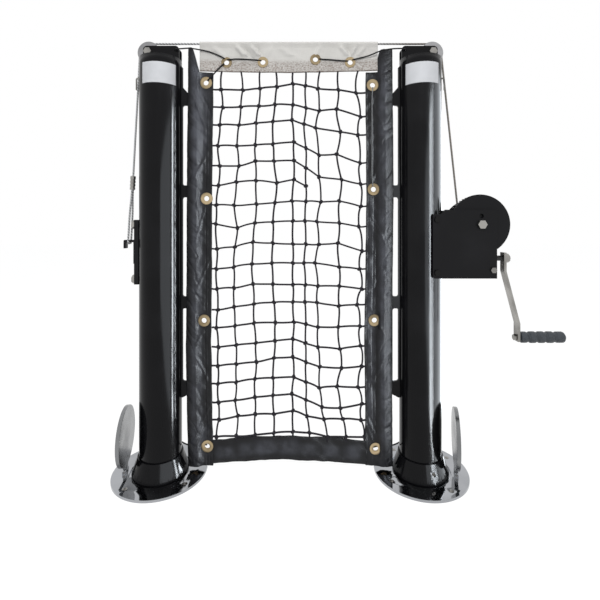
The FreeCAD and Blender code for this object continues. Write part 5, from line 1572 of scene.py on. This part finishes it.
@dataclass
class Studio:
    """The pale floor, the soft lamps, the white world and the camera."""

    glow: float = 0.85
    soft: float = 0.36
    floor_half: float = 9

    def build(self) -> None:
        """Make the stage."""
        self.floor()
        self.world()
        self.lamps()
        self.camera()

    @staticmethod
    def finished(nodes: Nodes, ending: str, light: bpy.types.Node, sight: bpy.types.Node, share: float) -> None:
        """End a tree in a mix of two shaders.

        Args:
            nodes: The tree.
            ending: Blender's name of its output node.
            light: The shader that lights and shades.
            sight: The shader that the camera sees, also by reflection and through glass.
            share: How much of it is seen.
        """
        path = nodes.node("ShaderNodeLightPath")
        camera, glossy, clear = (Wire(nodes, path.outputs[f"Is {kind} Ray"])
                                 for kind in ("Camera", "Glossy", "Transmission"))
        nodes.end(ending, nodes.node("ShaderNodeMixShader", None, {
            0: camera.larger(glossy.larger(clear)) * share, 1: light.outputs[0], 2: sight.outputs[0]}))

    def floor(self) -> None:
        """A white floor that keeps a soft shadow, with a hole at each floor sleeve."""
        form = bmesh.new()
        half = self.floor_half
        chain(form, [(-half, -half, 0), (half, -half, 0), (half, half, 0), (-half, half, 0)], True)
        for side in Side:
            low, high = packed_box(side.named("floor_sleeve"))
            radius = (high.y - low.y) / 2 - 0.5 * MM
            angles = [math.tau * step / 48 for step in range(48)]
            chain(form, [(side.spot + radius * math.cos(angle), radius * math.sin(angle), 0) for angle in angles],
                  True)
        bmesh.ops.triangle_fill(form, use_beauty=True, use_dissolve=False, edges=form.edges[:])
        item = shown("studio_floor", as_mesh("studio_floor", form))
        item.visible_glossy = False
        item.visible_shadow = False
        material = bpy.data.materials.new("studio_floor")
        nodes = Nodes(material)
        matte = nodes.node("ShaderNodeBsdfDiffuse", None, {"Color": (0.86, 0.86, 0.86, 1)})
        white = nodes.node("ShaderNodeEmission", None, {"Strength": 1.12})
        self.finished(nodes, "ShaderNodeOutputMaterial", matte, white, self.glow)
        item.data.materials.append(material)

    def world(self) -> None:
        """White to the camera and in reflections, soft grey as a light."""
        world = bpy.data.worlds.new("studio_world")
        nodes = Nodes(world)
        soft = nodes.node("ShaderNodeBackground", None, {"Color": (0.95, 0.97, 1.0, 1), "Strength": self.soft})
        white = nodes.node("ShaderNodeBackground", None, {"Color": (1, 1, 1, 1)})
        self.finished(nodes, "ShaderNodeOutputWorld", soft, white, 1.0)
        bpy.context.scene.world = world

    @staticmethod
    def lamp(name: str, place: Point, target: Point, size: Pair, power: float,
             colour: Colour = EVEN) -> bpy.types.Object:
        """A soft rectangular lamp that faces a target."""
        light = bpy.data.lights.new(name, "AREA")
        light.shape = "RECTANGLE"
        light.size, light.size_y = size
        light.energy = power
        light.color = colour
        item = shown(name, light)
        item.location = place
        item.rotation_euler = (Vector(target) - Vector(place)).to_track_quat("-Z", "Y").to_euler()
        return item

    def lamps(self) -> None:
        """A soft key by the camera and a broad lamp above."""
        for name, place, target, size, power in (
                ("key_front", (0.35, -1.6, 1.5), (0.32, 0, 0.6), (0.8, 0.8), 20),
                ("overhead", (0.4, -0.5, 2.8), (0.32, 0, 0.55), (2.4, 1.6), 22)):
            self.lamp(name, place, target, size, power).visible_glossy = False

    def mirrored_lamps(self) -> None:
        """Tall strips at the right: each lights only one post's enamel, all the enamel or the coated cloth."""
        enamel = bpy.data.collections.new("enamel")
        coated = bpy.data.collections.new("coated_cloth")
        by_post = {side: bpy.data.collections.new(side.named("enamel")) for side in Side}
        for item in bpy.context.scene.objects:
            if item.type == "MESH" and any(slot.material and slot.material.name == "gloss_black_enamel"
                                           for slot in item.material_slots):
                enamel.objects.link(item)
                near = Side.ANCHOR if item.name.startswith(Side.ANCHOR.value) else Side.WINCH
                by_post[near].objects.link(item)
            # The coated cloth is found by the attribute that carries its painted sheen.
            if item.type == "MESH" and item.data.attributes.get("rubbed"):
                coated.objects.link(item)
        strips = (("strip_anchor", 0.15, 0.90, 430, by_post[Side.ANCHOR]),
                  ("strip_winch", -1.0, 0.80, 400, by_post[Side.WINCH]),
                  ("strip_behind", 1.2, 3.4, 130, by_post[Side.WINCH]),
                  ("strip_wide", -3.1, 5.0, 130, enamel), ("strip_cloth", -0.9, 0.9, 110, coated))
        for name, y, width, power, group in strips:
            strip = self.lamp(name, (1.6, y, 0.35), (0.3, y, 0.35), (width, 1.9), power, (0.88, 0.94, 1.0))
            strip.visible_diffuse = False
            strip.visible_camera = False
            strip.light_linking.receiver_collection = group

    def camera(self) -> None:
        """The photograph's camera."""
        data = bpy.data.cameras.new("photo_camera")
        data.sensor_width = 36
        data.lens = data.sensor_width * Photo.FOCAL / Photo.PIXELS
        data.shift_y = Photo.HORIZON_ROW / Photo.PIXELS - 0.5
        item = shown("photo_camera", data)
        item.location = (Photo.EYE_X, -Photo.DISTANCE, Photo.EYE_HEIGHT)
        item.rotation_euler = (math.radians(90), 0, 0)
        bpy.context.scene.camera = item


def main() -> None:
    """Load the frame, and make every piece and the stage."""
    logging.basicConfig(level=logging.INFO, format="%(message)s")
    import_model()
    bpy.context.scene.view_settings.view_transform = "Standard"
    studio = Studio()
    studio.build()
    bench = Bench(Palette())
    Cables(bench).build()
    Lacing(bench).build()
    Posts(bench).build()
    Hardware(bench).build()
    for pocket in side_pockets(bench):
        pocket.build()
    Headband(bench).build()
    Mesh(bench).build()
    BottomBand(bench).build()
    studio.mirrored_lamps()


if __name__ == "__main__":
    main()
